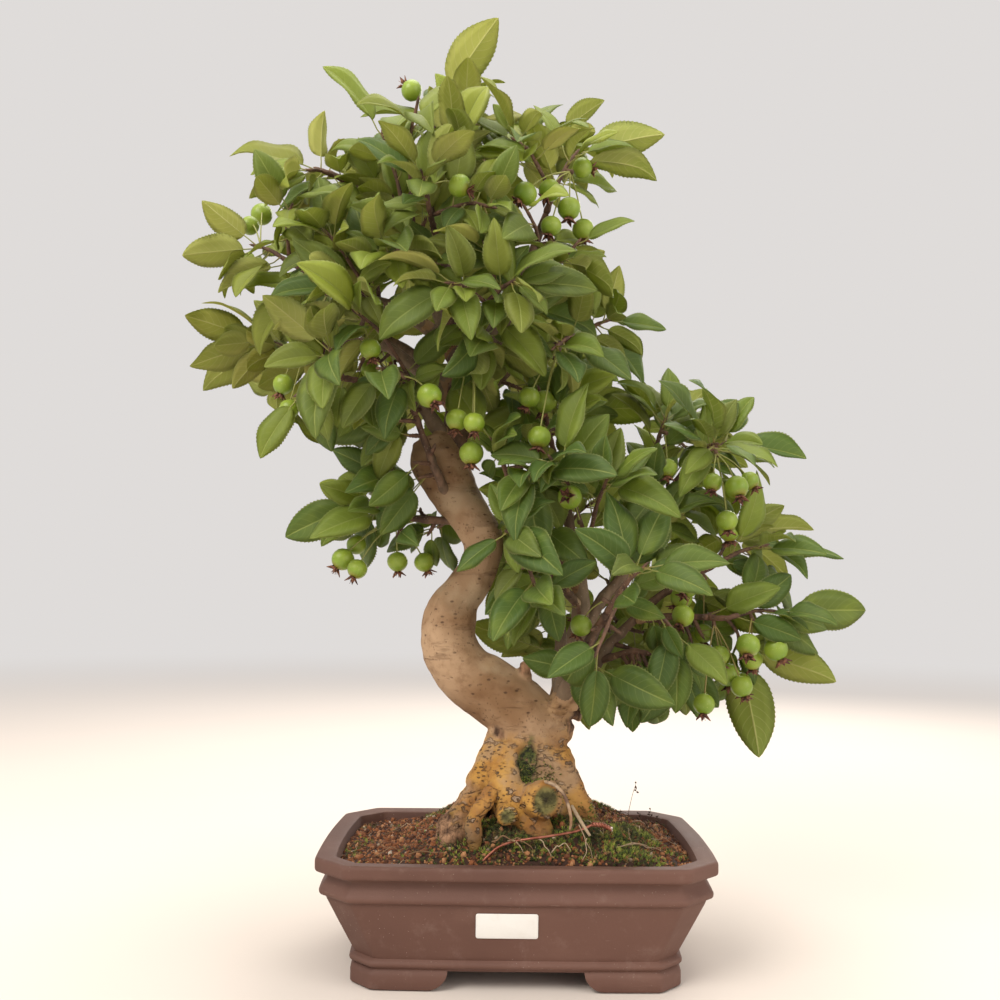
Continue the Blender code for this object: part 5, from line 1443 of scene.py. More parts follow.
# Where the two sawn root stubs end, and how wide they are; torn bark; moss; and the hollow between two roots
STUMP_CUTS = (((19, -62, 114), 10.5), ((-6, -64, 104), 5.6))
TORN_SPOTS = (((-30, -30, 108), 9), ((-45, -46, 90), 12), ((46, -10, 160), 10), ((-38, -20, 100), 9),
              ((30, -58, 100), 6), ((-14, -22, 152), 5), ((44, -6, 172), 8), ((6, -12, 199), 7),
              ((40, -22, 179), 6), ((28, -28, 158), 4))
BROKEN_STUBS = (
    ((4, -10, 185, 7), (6, -12, 199, 4)), ((38, -18, 169, 5), (40, -22, 179, 2.6)),
)
MOSS_SPOTS = (((20, -42, 124), 11), ((34, -46, 115), 10), ((10, -36, 126), 7), ((48, -34, 98), 8),
              ((2, -52, 92), 7), ((-20, -52, 90), 7), ((28, -66, 100), 4), ((-50, -52, 82), 5))
HOLLOW = (8, -31, 134)
HOLLOW_SPREAD = (7, 14, 14)
BARK_GRAIN = 1.3

# Thin roots: the one over the big stub, the pale one beside it, and rootlets from place to place,
# each with its radius and how high it arches
OVER_STUB = (
    ((14.0, -50.0, 122.6), 1.0), ((18.8, -60.0, 125.7), 1.2), ((25.0, -66.0, 124.3), 1.2),
    ((30.1, -68.0, 119.1), 1.15), ((33.4, -68.0, 110.9), 1.1), ((34.7, -69.0, 103.5), 1.0),
    ((33.9, -71.0, 97.7), 0.8),
)
BESIDE_STUB = (
    ((36.5, -52.0, 109.0), 1.0), ((39.2, -60.0, 104.9), 1.2), ((42.7, -65.0, 99.6), 1.2),
    ((47.0, -68.0, 93.4), 0.9),
)
ROOTLETS = (
    ((40, -66, 100), (48, -74, 80), 0.6, 2), ((45, -68, 92), (42, -76, 78), 0.5, 0),
    ((12, -68, 92), (22, -76, 82), 0.7, 3), ((-6, -70, 90), (4, -76, 84), 0.7, 3),
    ((-16, -72, 90), (2, -74, 88), 0.9, 4), ((-2, -70, 91), (10, -74, 86), 0.8, 3),
    ((22, -74, 84), (34, -76, 86), 0.7, 5), ((64, -66, 86), (88, -60, 84), 0.6, 3),
    ((72, -60, 86), (96, -50, 80), 0.6, 2), ((-70, -66, 80), (-44, -72, 82), 0.7, 3),
    ((-92, -60, 77), (-66, -50, 82), 0.6, 2), ((54, -72, 84), (62, -76, 80), 0.5, 3),
    ((84, -30, 84), (112, -26, 78), 0.5, 2), ((-100, -20, 76), (-84, -44, 78), 0.5, 2),
)


def wobbled(path, rng, share):
    """A path whose radius swells and narrows a little along its length."""
    phase = rng.uniform(0, 6.28)
    swollen = []
    for i, (point, radius) in enumerate(path):
        swell = share * math.sin(0.9 * i + phase)
        swollen.append((point, radius * (1 + swell + rng.uniform(-share, share) * 0.5)))
    return swollen


def roughness_at(point):
    """How rough the bark is at a height: flaking at the foot, smooth above it."""
    return min(max((158 * MM - point.z) / (17 * MM), 0), 1)


def build_trunk(bark):
    """Trunk and roots, merged and smoothed, with creases, scars and flaking bark raised on them."""
    rng = random.Random(5)
    build = Build()
    for name, points in {"trunk": TRUNK, **{"root_" + key: value for key, value in ROOTS.items()}}.items():
        fine = wobbled(smooth(points, 4), rng, 0.02 if name == "trunk" else 0.07)
        build.add(*tube(fine, 20))
    for name in BRANCHES:
        (foot, radius), *rest = smooth(BRANCHES[name], 3)[:3]
        build.add(*tube([(foot, radius * 1.25), *rest], 12))
    for start, end in BROKEN_STUBS:
        build.add(*tube([(mm(place[:3]), place[3] * MM) for place in (start, end)], 9))
    obj = new_object("trunk_and_roots", build.corners, build.faces)
    modify(obj, "REMESH", mode="VOXEL", voxel_size=BARK_GRAIN * MM)
    modify(obj, "SMOOTH", factor=0.5, iterations=6)
    merged = fixed(obj)
    note_bark(merged)
    raise_surface(merged, bark_relief)
    merged.materials.append(bark)
    merged.polygons.foreach_set("use_smooth", [True] * len(merged.polygons))
    return settle(obj, ("wood",))


def read_corners(mesh):
    """The mesh's corners and normals, as two arrays."""
    count = len(mesh.vertices)
    places, normals = np.empty(count * 3, np.float32), np.empty(count * 3, np.float32)
    mesh.vertices.foreach_get("co", places)
    mesh.vertices.foreach_get("normal", normals)
    return places.reshape(-1, 3), normals.reshape(-1, 3)


def raise_surface(mesh, height):
    """Moves each corner along its normal by height(place), which is in millimetres."""
    places, normals = read_corners(mesh)
    lifts = np.array([height(Vector(place)) for place in places])
    places += normals * (lifts * MM)[:, None]
    mesh.vertices.foreach_set("co", places.ravel())
    mesh.update()


def from_hollow(place):
    """How far a place is from the hollow's middle, as a share of its spread."""
    away = (place - mm(HOLLOW)) / MM
    return Vector([part / spread for part, spread in zip(away, HOLLOW_SPREAD)]).length


def bark_relief(place):
    """The height of the bark's lumps, creases and flakes at a place."""
    rough = roughness_at(place)
    broad = noise.noise(place * 28)
    lumps = noise.noise(place * 75 + Vector((3, 1, 7)))
    flakes = noise.noise(place * 190)
    crease = noise.noise(Vector((place.x * 12, place.y * 12, place.z * 95)))
    lift = 0.9 * broad + 0.35 * lumps + rough * (1.5 * lumps + 1.1 * max(flakes, -0.15))
    for spot, reach in TORN_SPOTS:
        ragged = max(1.3 - (place - mm(spot)).length / (reach * MM), 0)
        if ragged:
            lift += min(ragged * 2, 1) * (2.2 * noise.noise(place * 150) + 1.2 * noise.noise(place * 330))
    depth = from_hollow(place)
    return lift - 1.5 * max(crease - 0.15, 0) * (1 - rough) - 5.0 * math.exp(-depth * depth)


def note_bark(mesh):
    """Notes where the bark is ochre, where the wood is sawn through, and where painted shade darkens the
    hollow between two roots.
    """
    cuts = [(mm(place), reach * MM) for place, reach in STUMP_CUTS]
    torn = [(mm(place), reach * MM) for place, reach in TORN_SPOTS]
    places, normals = read_corners(mesh)
    notes = np.zeros((len(places), 3), np.float32)
    scars = np.zeros((len(places), 3), np.float32)
    for i, (place, facing) in enumerate(zip(places, normals)):
        place = Vector(place)
        notes[i, 0] = min(max(roughness_at(place) + 0.5 * noise.noise(place * 28) - 0.1, 0), 1)
        away, reach = min(((place - end).length / reach, reach) for end, reach in cuts)
        notes[i, 1] = min(max((1.0 - away) * 4, 0), 1) * (1 if facing[1] < -0.6 else 0)
        # Painted shade: how dark the hollow between two roots is coloured
        notes[i, 2] = min(max(2.0 * (1.25 - from_hollow(place)) + 0.8 * noise.noise(place * 110), 0), 1)
        ragged = max(1.3 - (place - spot).length / reach for spot, reach in torn)
        scars[i, 0] = min(max(2 * ragged + 1.6 * noise.noise(place * 95), 0), 1)
        scars[i, 1] = min(max(1.0 - away * 2.2, 0), 1)
    for name, rows in (("bark", notes), ("scar", scars)):
        kept = mesh.attributes.new(name, "FLOAT_VECTOR", "POINT")
        kept.data.foreach_set("vector", rows.ravel())
    lit = np.clip(normals[:, 2] + 0.6, 0, 1) * np.clip((places[:, 2] - 84 * MM) / (4 * MM), 0, 1)
    green = [max(1.5 - (Vector(place) - mm(spot)).length / (reach * MM) for spot, reach in MOSS_SPOTS)
             for place in places]
    write_share(mesh, "moss_share", np.clip(green, 0, 1) * lit)


def build_branches(twig):
    """The branches, thick ones pale and thin ones dark, with swellings and old bud scars."""
    build = Build("bark")
    rng = random.Random(9)
    for name, points in BRANCHES.items():
        fine = smooth(points, 7)
        path = []
        for i, (point, radius) in enumerate(fine):
            knot = 0.16 if i % 5 == 3 else 0.0
            path.append((point + anyhow(rng) * (0.25 * MM),
                         radius * (1 + knot + rng.uniform(-0.04, 0.04))))
        corners, faces = tube(path, 14)
        pale = np.repeat([min(max((radius / MM - 2.2) / 3.0, 0), 1) for _, radius in path], 14)
        if name in ("leader", "upper_left", "upper_right"):
            pale = pale * 0.25
        build.add(corners, faces, 0, bark=np.stack([pale, pale * 0, pale * 0], axis=1))
    piece = build.piece("branches", (twig,), "bark", ("wood",))
    raise_surface(piece.data, lambda place: 0.35 * noise.noise(place * 160) + 0.25 * noise.noise(place * 420))
    return piece


# The pot


def fine_outline(level, z, inset=0.0, bend=4, flat=8):
    """The pot's plan at one level with its corners eased, as many small steps."""
    half_x, half_y, cut = level
    half_x, half_y, cut = half_x - inset, half_y - inset, cut - 0.45 * inset
    soft = min(2.6, 0.3 * cut)
    quarter = []
    corner_a, corner_b = Vector((half_x, half_y - cut)), Vector((half_x - cut, half_y))
    before, after = Vector((half_x, 0)), Vector((0, half_y))
    for near, corner, far in ((before, corner_a, corner_b), (corner_a, corner_b, after)):
        enter = corner + (near - corner).normalized() * soft
        leave = corner + (far - corner).normalized() * soft
        for k in range(bend + 1):
            t = k / bend
            quarter.append(enter * (1 - t) ** 2 + corner * (2 * t * (1 - t)) + leave * t ** 2)
    right = [Vector((half_x, (half_y - cut - soft) * k / flat)) for k in range(flat)]
    top = [Vector(((half_x - cut - soft) * (1 - k / flat), half_y)) for k in range(1, flat + 1)]
    points = []
    for p in right + quarter + top:
        bow_x = SIDE_BOW * max(0, 1 - (abs(p.y) / (half_y - cut)) ** 2) if p.x > half_x - 0.01 else 0
        bow_y = 0.6 * SIDE_BOW * max(0, 1 - (abs(p.x) / (half_x - cut)) ** 2) if p.y > half_y - 0.01 else 0
        points.append((p.x + bow_x, p.y + bow_y))
    plan = points[:-1] + [(-x, y) for x, y in reversed(points)][:-1]
    plan += [(-x, -y) for x, y in points[:-1]] + [(x, -y) for x, y in reversed(points)][:-1]
    return [mm((x, y, z)) for x, y in plan]


def blended(near, far, share):
    return tuple(a + (b - a) * share for a, b in zip(near, far))


def pot_profile():
    """The pot's wall from its foot over the lip and down inside: each step a level, a height and an inset."""
    low_neck, high_neck = (blended(BAND_LEVEL, NECK_LEVEL, share) for share in (0.5, 0.85))
    steps = [(FOOT_LEVEL, 0.3, 0.5), (FOOT_LEVEL, 1.0, 0), (FOOT_LEVEL, 8.4, 0), (FOOT_LEVEL, 9.6, 0.3),
             (blended(FOOT_LEVEL, WALL_FOOT_LEVEL, 0.6), 11.2, 0)]
    stretches = [
        (WALL_FOOT_LEVEL, ((12.4, 0.4), (12.9, 0.2))),
        (MOULDING_LEVEL, ((13.7, 0.8), (14.6, 0.15), (15.5, 0), (16.5, 0.15), (17.5, 0.9))),
        (WALL_FOOT_LEVEL, ((18.5, 0.5), (19.4, 0.1))),
    ]
    for share in (0.05, 0.2, 0.4, 0.6, 0.8, 0.95):
        z = WALL_FOOT + (WALL_TOP - WALL_FOOT) * share
        stretches.append((blended(WALL_FOOT_LEVEL, WALL_TOP_LEVEL, share), ((z, 0),)))
    stretches += [
        (WALL_TOP_LEVEL, ((WALL_TOP, 0.2), (WALL_TOP + 0.7, 0.2))),
        (BAND_LEVEL, ((54.4, 1.9), (55.0, 0.7), (55.8, 0.15), (57.0, 0), (58.3, 0.2), (59.2, 0.9))),
        (low_neck, ((61.4, 0.1),)),
        (high_neck, ((63.6, 0.1),)),
        (NECK_LEVEL, ((65.4, 0), (67.0, 0), (67.9, -0.3))),
        (LIP_LEVEL, ((69.0, 1.6), (69.5, 0.7), (70.3, 0.15), (71.5, 0), (75.4, 0), (76.8, 0.2), (77.6, 0.8))),
    ]
    steps += [(level, z, inset) for level, stretch in stretches for z, inset in stretch]
    for down, inset in ((0, 1.9), (0.1, 3.0), (0.4, 7.0), (0.6, 11.4), (1.1, 12.6), (2.2, LIP_WIDTH)):
        steps.append((LIP_LEVEL, POT_HEIGHT - down, inset))
    steps += [(blended(WALL_TOP_LEVEL, LIP_LEVEL, 0.3), 66, POT_WALL + 1.2),
              (WALL_TOP_LEVEL, INNER_KNEE, POT_WALL), (WALL_FOOT_LEVEL, POT_FLOOR, POT_WALL)]
    return steps


def build_pot(clay):
    """The pot with its edges eased, cut under its floor and between its feet."""
    rings = [fine_outline(level, z, inset) for level, z, inset in pot_profile()]
    corners = [corner for ring in rings for corner in ring]
    pot = new_object("clay_pot", corners, stacked(len(rings[0]), len(rings)))
    half_x, half_y, _ = FOOT_LEVEL
    inside = (half_x - FOOT_DEPTH, half_y - FOOT_DEPTH)
    under = [mm((sx * inside[0], sy * inside[1], z)) for z in (-1, FOOT_HEIGHT)
             for sx, sy in ((1, 1), (-1, 1), (-1, -1), (1, -1))]
    block = [(3, 2, 1, 0), (4, 5, 6, 7)] + [(i, (i + 1) % 4, 4 + (i + 1) % 4, 4 + i) for i in range(4)]
    group = bpy.data.collections.new("under_the_pot")
    bpy.context.scene.collection.children.link(group)
    shapes = [(under, block), arch(FOOT_GAP_LONG, half_y + 9, False), arch(FOOT_GAP_SHORT, half_x + 9, True)]
    shapes += [tube([(mm((x, 0, 4)), DRAIN_RADIUS * MM), (mm((x, 0, POT_FLOOR + 3)), DRAIN_RADIUS * MM)], 32)
               for x in (-DRAIN_SPREAD, DRAIN_SPREAD)]
    for corners, faces in shapes:
        group.objects.link(new_solid("cutter", corners, faces))
    modify(pot, "BOOLEAN", operand_type="COLLECTION", collection=group, operation="DIFFERENCE",
           solver="EXACT")
    modify(pot, "BEVEL", width=0.8 * MM, segments=3, limit_method="ANGLE", angle_limit=math.radians(50))
    done = fixed(pot)
    for cutter in list(group.objects):
        bpy.data.objects.remove(cutter)
    bpy.data.collections.remove(group)
    raise_surface(done, lambda place: 0.22 * noise.noise(place * 26) + 0.06 * noise.noise(place * 120))
    done.materials.append(clay)
    done.polygons.foreach_set("use_smooth", [True] * len(done.polygons))
    done.set_sharp_from_angle(angle=math.radians(38))
    return settle(pot, ("pot",))


def arch(half, reach, turned):
    """The gap between two feet, finely stepped."""
    arc = [(half + FOOT_ROUND * (1 - math.sin(a)), FOOT_HEIGHT * (1 - math.cos(a)))
           for a in np.linspace(0, math.pi / 2, 12)]
    wide = half + FOOT_ROUND
    profile = [(wide, -1.0)] + arc + [(-x, z) for x, z in reversed(arc)] + [(-wide, -1.0)]
    corners = []
    for end in (-reach, reach):
        corners += [mm((x, end, z) if not turned else (end, x, z)) for x, z in profile]
    n = len(profile)
    faces = [tuple(range(n)), tuple(range(n, 2 * n))]
    faces += [(i, (i + 1) % n, n + (i + 1) % n, n + i) for i in range(n)]
    return corners, faces


# Soil, moss and litter


def bed_edge():
    """The soil's edge where it meets the pot, in plan."""
    low = fine_outline(WALL_TOP_LEVEL, INNER_KNEE, POT_WALL + 0.6)
    high = fine_outline(LIP_LEVEL, POT_HEIGHT, LIP_WIDTH + 0.6)
    share = (SOIL_EDGE - INNER_KNEE) / (POT_HEIGHT - INNER_KNEE)
    return [near.lerp(far, share) for near, far in zip(low, high)]


def moss_at(x, y):
    """How mossy the ground is at a place, 0 to 1: a mound in front of the roots, and patches round them."""
    front = math.exp(-((x - 22) / 62) ** 4 - ((y + 56) / 19) ** 4)
    right = math.exp(-((x - 84) / 16) ** 2 - ((y + 36) / 20) ** 2)
    back = 0.6 * math.exp(-((x - 10) / 58) ** 4 - ((y - 42) / 26) ** 4)
    patches = noise.noise(Vector((x * 0.05, y * 0.05, 4.0)))
    return min(max(max(front, right, back) * (1.1 + 1.4 * patches) + 0.2 * patches, 0), 1)


def bed_height(x, y):
    """The seen soil's surface: the mound, uneven, and lifted under the moss."""
    place = Vector((x, y, 0))
    rough = 1.5 * noise.noise(place * 0.045) + 0.9 * noise.noise(place * 0.13)
    return soil_height(x, y) + rough + 5.0 * moss_at(x, y)


def build_bed(finish):
    """The soil's surface, closed below, with notes of how thickly grains and moss lie on it."""
    edge = bed_edge()
    n = len(edge)
    shares = [1.0, 0.985] + [1 - k / 34 for k in range(1, 34)]
    corners = [Vector((p.x, p.y, (SOIL_EDGE - 9) * MM)) for p in edge]
    for share in shares:
        for p in edge:
            x, y = p.x * share / MM, p.y * share / MM
            height = SOIL_EDGE - 1.5 if share == 1.0 else bed_height(x, y)
            corners.append(mm((x, y, height)))
    corners.append(mm((0, 0, bed_height(0, 0))))
    rings = len(shares) + 1
    faces = stacked(n, rings)[:-2]
    faces += [((rings - 1) * n + i, (rings - 1) * n + (i + 1) % n, rings * n) for i in range(n)]
    faces.append(tuple(reversed(range(n))))
    bed = new_object("soil_bed", corners, faces)
    mesh = bed.data
    moss = [moss_at(p.x / MM, p.y / MM) if i >= 2 * n else 0.0 for i, p in enumerate(corners)]
    bare = [(1 - 0.75 * m) * (i >= 2 * n) for i, m in enumerate(moss)]
    write_share(mesh, "moss_share", moss)
    write_share(mesh, "grain_share", bare)
    write_share(mesh, "litter_share", [float(i >= 2 * n) * (0.15 + m) for i, m in enumerate(moss)])
    mesh.attributes.new("tone", "FLOAT_VECTOR", "POINT").data.foreach_set(
        "vector", np.tile([0.3, 0.5, 0.0], len(corners)).astype(np.float32))
    mesh.materials.append(finish)
    mesh.polygons.foreach_set("use_smooth", [True] * len(faces))
    return settle(bed, ("soil",))


def write_share(mesh, name, values):
    kept = mesh.attributes.new(name, "FLOAT", "POINT")
    kept.data.foreach_set("value", np.array(values, np.float32))


STREWN_VALUES = ("Per Square Metre", "Smallest", "Largest", "Tilt", "Sink", "Seed")


def strewing():
    """A node group that strews copies of one thing over a ground, more where the ground notes more of it."""
    group = bpy.data.node_groups.new("strewn", "GeometryNodeTree")
    t = Tangle(group)
    sockets = (
        ("Ground", "Geometry"), ("Thing", "Object"), ("Where", "Float"), ("Per Square Metre", "Float"),
        ("Smallest", "Vector"), ("Largest", "Vector"), ("Tilt", "Float"), ("Sink", "Float"), ("Seed", "Int"),
        ("Finish", "Material"),
    )
    for name, kind in sockets:
        group.interface.new_socket(name, in_out="INPUT", socket_type="NodeSocket" + kind)
    group.interface.new_socket("Geometry", in_out="OUTPUT", socket_type="NodeSocketGeometry")
    given = t.tree.nodes.new("NodeGroupInput")
    take = {name: Reading(t, given.outputs[name]) for name, _ in sockets}
    thing = t.node("GeometryNodeObjectInfo", {}, {"Object": take["Thing"]}, 4)
    settings = {"distribute_method": "RANDOM"}
    density = take["Where"] * take["Per Square Metre"]
    points = {"Mesh": take["Ground"], "Density": density, "Seed": take["Seed"]}
    spread = t.node("GeometryNodeDistributePointsOnFaces", settings, points)
    facing = Reading(t, spread.socket.node.outputs["Rotation"])

    def draw(kind, shift, low=0, high=0, output=1):
        """A random value of each copy, from low to high, with a seed of its own."""
        inputs = {"Seed": take["Seed"] + shift, **({low[0]: low[1], high[0]: high[1]} if low else {})}
        return t.node("FunctionNodeRandomValue", {"data_type": kind}, inputs, output)

    tilt, lean = (draw("FLOAT", shift, (2, take["Tilt"] * -1), (3, take["Tilt"])) for shift in (1, 2))
    spin = draw("FLOAT", 3, (2, 0.0), (3, 6.28))
    turn = t.node("ShaderNodeCombineXYZ", {}, {0: tilt, 1: lean, 2: spin})
    turn = t.node("FunctionNodeEulerToRotation", {}, {0: turn})
    settings = {"rotation_space": "LOCAL"}
    facing = t.node("FunctionNodeRotateRotation", settings, {"Rotation": facing, "Rotate By": turn})
    size = draw("FLOAT_VECTOR", 4, (0, take["Smallest"]), (1, take["Largest"]), 0)
    inputs = {"Points": spread, "Instance": thing, "Rotation": facing, "Scale": size}
    strewn = t.node("GeometryNodeInstanceOnPoints", {}, inputs)
    sunk = t.node("ShaderNodeCombineXYZ", {}, {2: take["Sink"] * -1})
    strewn = t.node("GeometryNodeTranslateInstances", {}, {"Instances": strewn, "Translation": sunk})
    chance = draw("FLOAT_VECTOR", 5, output=0)
    strewn = t.node("GeometryNodeStoreNamedAttribute", {"data_type": "FLOAT_VECTOR", "domain": "INSTANCE"},
                    {"Geometry": strewn, "Name": "tone", "Value": chance})
    strewn = t.node("GeometryNodeRealizeInstances", {}, {"Geometry": strewn})
    strewn = t.node("GeometryNodeSetMaterial", {}, {"Geometry": strewn, "Material": take["Finish"]})
    t.node("NodeGroupOutput", {}, {"Geometry": strewn})
    return group


def strew(name, group, ground, share, thing, finish, values):
    """A piece made of copies of a thing, strewn over a ground where its note named share says so."""
    holder = bpy.data.objects.new(name, ground.data.copy())
    bpy.context.scene.collection.objects.link(holder)
    modifier = modify(holder, "NODES", node_group=group)
    sockets = {item.name: item.identifier for item in group.interface.items_tree if item.in_out == "INPUT"}
    modifier[sockets["Thing"]] = thing
    modifier[sockets["Finish"]] = finish
    modifier[sockets["Where"] + "_use_attribute"] = True
    modifier[sockets["Where"] + "_attribute_name"] = share
    for key, value in zip(STREWN_VALUES, values):
        modifier[sockets[key]] = value
    done = fixed(holder)
    done.polygons.foreach_set("use_smooth", [True] * len(done.polygons))
    bpy.data.objects.remove(thing)
    return settle(holder)


def grain_shape(seed, rough):
    """A crumb of fired clay: an uneven lump of unit size with 20 faces."""
    bm = bmesh.new()
    bmesh.ops.create_icosphere(bm, subdivisions=1, radius=0.5)
    for vert in bm.verts:
        vert.co *= 1 + rough * noise.noise(vert.co * 3 + Vector((seed, 0, 0)))
    corners = [vert.co.copy() for vert in bm.verts]
    faces = [tuple(vert.index for vert in face.verts) for face in bm.faces]
    bm.free()
    return new_solid("crumb", corners, faces)


def tuft_shape(seed, blades):
    """A tuft of moss: short leafy stems that lean apart, each a narrow closed spike of unit height."""
    rng = random.Random(seed)
    corners, faces = [], []
    for _ in range(blades):
        turn, lean = rng.uniform(0, 6.28), rng.uniform(0.1, 0.8)
        foot = Vector((rng.uniform(-0.25, 0.25), rng.uniform(-0.25, 0.25), -0.1))
        out = Vector((math.cos(turn) * math.sin(lean), math.sin(turn) * math.sin(lean), math.cos(lean)))
        height = rng.uniform(0.6, 1.0)
        at = len(corners)
        side = out.orthogonal().normalized()
        for third in range(3):
            corners.append(foot + (Matrix.Rotation(third * 2.1, 3, out) @ side) * 0.12)
        corners.append(foot + out * height)
        faces += [(at, at + 1, at + 3), (at + 1, at + 2, at + 3), (at + 2, at, at + 3), (at, at + 2, at + 1)]
    return new_solid("tuft", corners, faces)


def flake_shape():
    """A scrap of dead leaf or bark, curled and thin."""
    top = [Vector((x, y, 0.12 * (x * x * 3 - abs(y)))) for x, y in
           ((-0.5, 0), (-0.2, 0.22), (0.2, 0.25), (0.5, 0.05), (0.25, -0.2), (-0.15, -0.24))]
    under = [corner - Vector((0, 0, 0.04)) for corner in top]
    faces = [tuple(range(6)), tuple(reversed(range(6, 12)))]
    faces += [(i, 6 + i, 6 + (i + 1) % 6, (i + 1) % 6) for i in range(6)]
    return new_solid("flake", top + under, faces)


def build_ground(trunk):
    group = strewing()
    root_finish()
    brown = grain_finish("soil_grains", (0.05, 0.016, 0.007), (0.30, 0.10, 0.032), (0.50, 0.25, 0.11))
    pale = grain_finish("pale_pebbles", (0.22, 0.16, 0.11), (0.48, 0.36, 0.25), (0.6, 0.5, 0.4))
    litter = grain_finish("litter", (0.05, 0.025, 0.014), (0.24, 0.135, 0.065), (0.58, 0.45, 0.30))
    green = moss_finish()
    fines = grain_finish("soil_fines", (0.02, 0.008, 0.004), (0.075, 0.026, 0.011), (0.1, 0.05, 0.03))
    bed = build_bed(fines)
    for name, shape, finish, density, small, large, tilt, sink, seed in (
        ("soil_grains", grain_shape(1, 0.5), brown, 170000.0, (1.0, 1.0, 0.9), (3.4, 2.8, 2.4), 3.0, 0.0, 3),
        ("soil_lumps", grain_shape(7, 0.9), brown, 22000.0, (3.0, 2.6, 2.2), (6.0, 4.8, 4.0), 3.0, 0.0, 12),
        ("pebbles", grain_shape(4, 0.6), pale, 1500.0, (2.2, 2.0, 1.6), (5.0, 4.0, 3.0), 3.0, -0.4, 21),
        ("litter", flake_shape(), litter, 26000.0, (1.5, 1.0, 2.0), (7.0, 3.0, 5.0), 0.7, -1.0, 31),
        ("moss_bed", tuft_shape(2, 7), green, 560000.0, (1.6, 1.6, 1.6), (3.2, 3.2, 5.2), 0.6, 0.3, 41),
        ("moss_on_wood", tuft_shape(3, 6), green, 640000.0, (1.2, 1.2, 0.9), (2.4, 2.4, 2.4), 0.6, 0.3, 51),
    ):
        share = "moss_share" if finish is green else "litter_share" if finish is litter else "grain_share"
        ground, slot = (trunk, "bark") if name == "moss_on_wood" else (bed, "soil")
        sizes = [tuple(side * MM for side in sides) for sides in (small, large)]
        strew(name, group, ground, share, shape, finish, (density, *sizes, tilt, sink * MM, seed))


# Tie wire, label and fine roots


def build_tie_wire(finish, bright):
    """The wire from the soil to its twisted end, where its two cut ends shine."""
    build = Build()
    line = smooth([(*point, WIRE_RADIUS) for point in WIRE], 8)
    build.add(*tube(line, 12))
    start, middle, end = (mm(point) for point in WIRE_END)
    axis = (end - start).normalized()
    side = axis.orthogonal().normalized()
    other = axis.cross(side)
    for strand in range(2):
        path = []
        for step in range(37):
            t = step / 36
            centre = start.lerp(middle, min(2 * t, 1)) if t < 0.5 else middle.lerp(end, 2 * t - 1)
            turn = 2 * math.pi * (3.2 * t + 0.5 * strand)
            offset = (side * math.cos(turn) + other * math.sin(turn)) * (1.02 * WIRE_RADIUS * MM)
            path.append((centre + offset, 1.02 * WIRE_RADIUS * MM))
        build.add(*tube(path, 10))
        tip, radius = path[-1]
        along = (tip - path[-2][0]).normalized()
        cut = ((-0.3, 1.02), (0.35, 0.98), (0.6, 0.5))
        build.add(*tube([(tip + along * (far * MM), wide * radius) for far, wide in cut], 10), 1)
    return build.piece("twisted_wire", (finish, bright), "copper", ("tie_wire",))


def build_blank_label(finish):
    """The paper label, left blank: rounded corners, on the pot's slanting front."""
    width, height, thick = LABEL_SIZE
    rise = WALL_TOP - WALL_FOOT
    flare = WALL_TOP_LEVEL[1] - WALL_FOOT_LEVEL[1]
    turn = Matrix.Rotation(math.atan2(flare, rise), 3, "X")
    x, z = LABEL_CENTRE
    wall = WALL_FOOT_LEVEL[1] + flare * (z - WALL_FOOT) / rise + 0.6 * SIDE_BOW
    centre = Vector((x, -(wall + thick / 2 + 0.35), z))
    soft = 1.5
    plan = []
    for corner, (sx, sz) in enumerate(((1, 1), (-1, 1), (-1, -1), (1, -1))):
        for k in range(7):
            a = math.pi / 2 * (corner + k / 6)
            plan.append((sx * (width / 2 - soft) + soft * math.cos(a),
                         sz * (height / 2 - soft) + soft * math.sin(a)))
    rings = []
    half = thick / 2
    for inset, depth in ((0.25, half), (0.0, half - 0.12), (0.0, -half + 0.12), (0.25, -half)):
        shrink = 1 - inset / (height / 2)
        places = [Vector((across * shrink, -depth, up * shrink)) for across, up in plan]
        rings.append([mm(centre + turn @ place) for place in places])
    build = Build()
    faces = [tuple(reversed(face)) for face in stacked(len(plan), len(rings))]
    build.add([corner for ring in rings for corner in ring], faces)
    return build.piece("blank_label", (finish,), "paper", ("label",))


def wander(start, end, rng, steps, thick, sag, loose):
    """A thin root's path from one place to another, wandering a little; thick is its two end radii."""
    near, far = mm(start), mm(end)
    path = []
    for k in range(steps + 1):
        t = k / steps
        drift = anyhow(rng) * (loose * MM * math.sin(math.pi * t))
        arch = UP * (sag * MM * math.sin(math.pi * t))
        path.append((near.lerp(far, t) + drift + arch, (thick[0] + (thick[1] - thick[0]) * t) * MM))
    return path


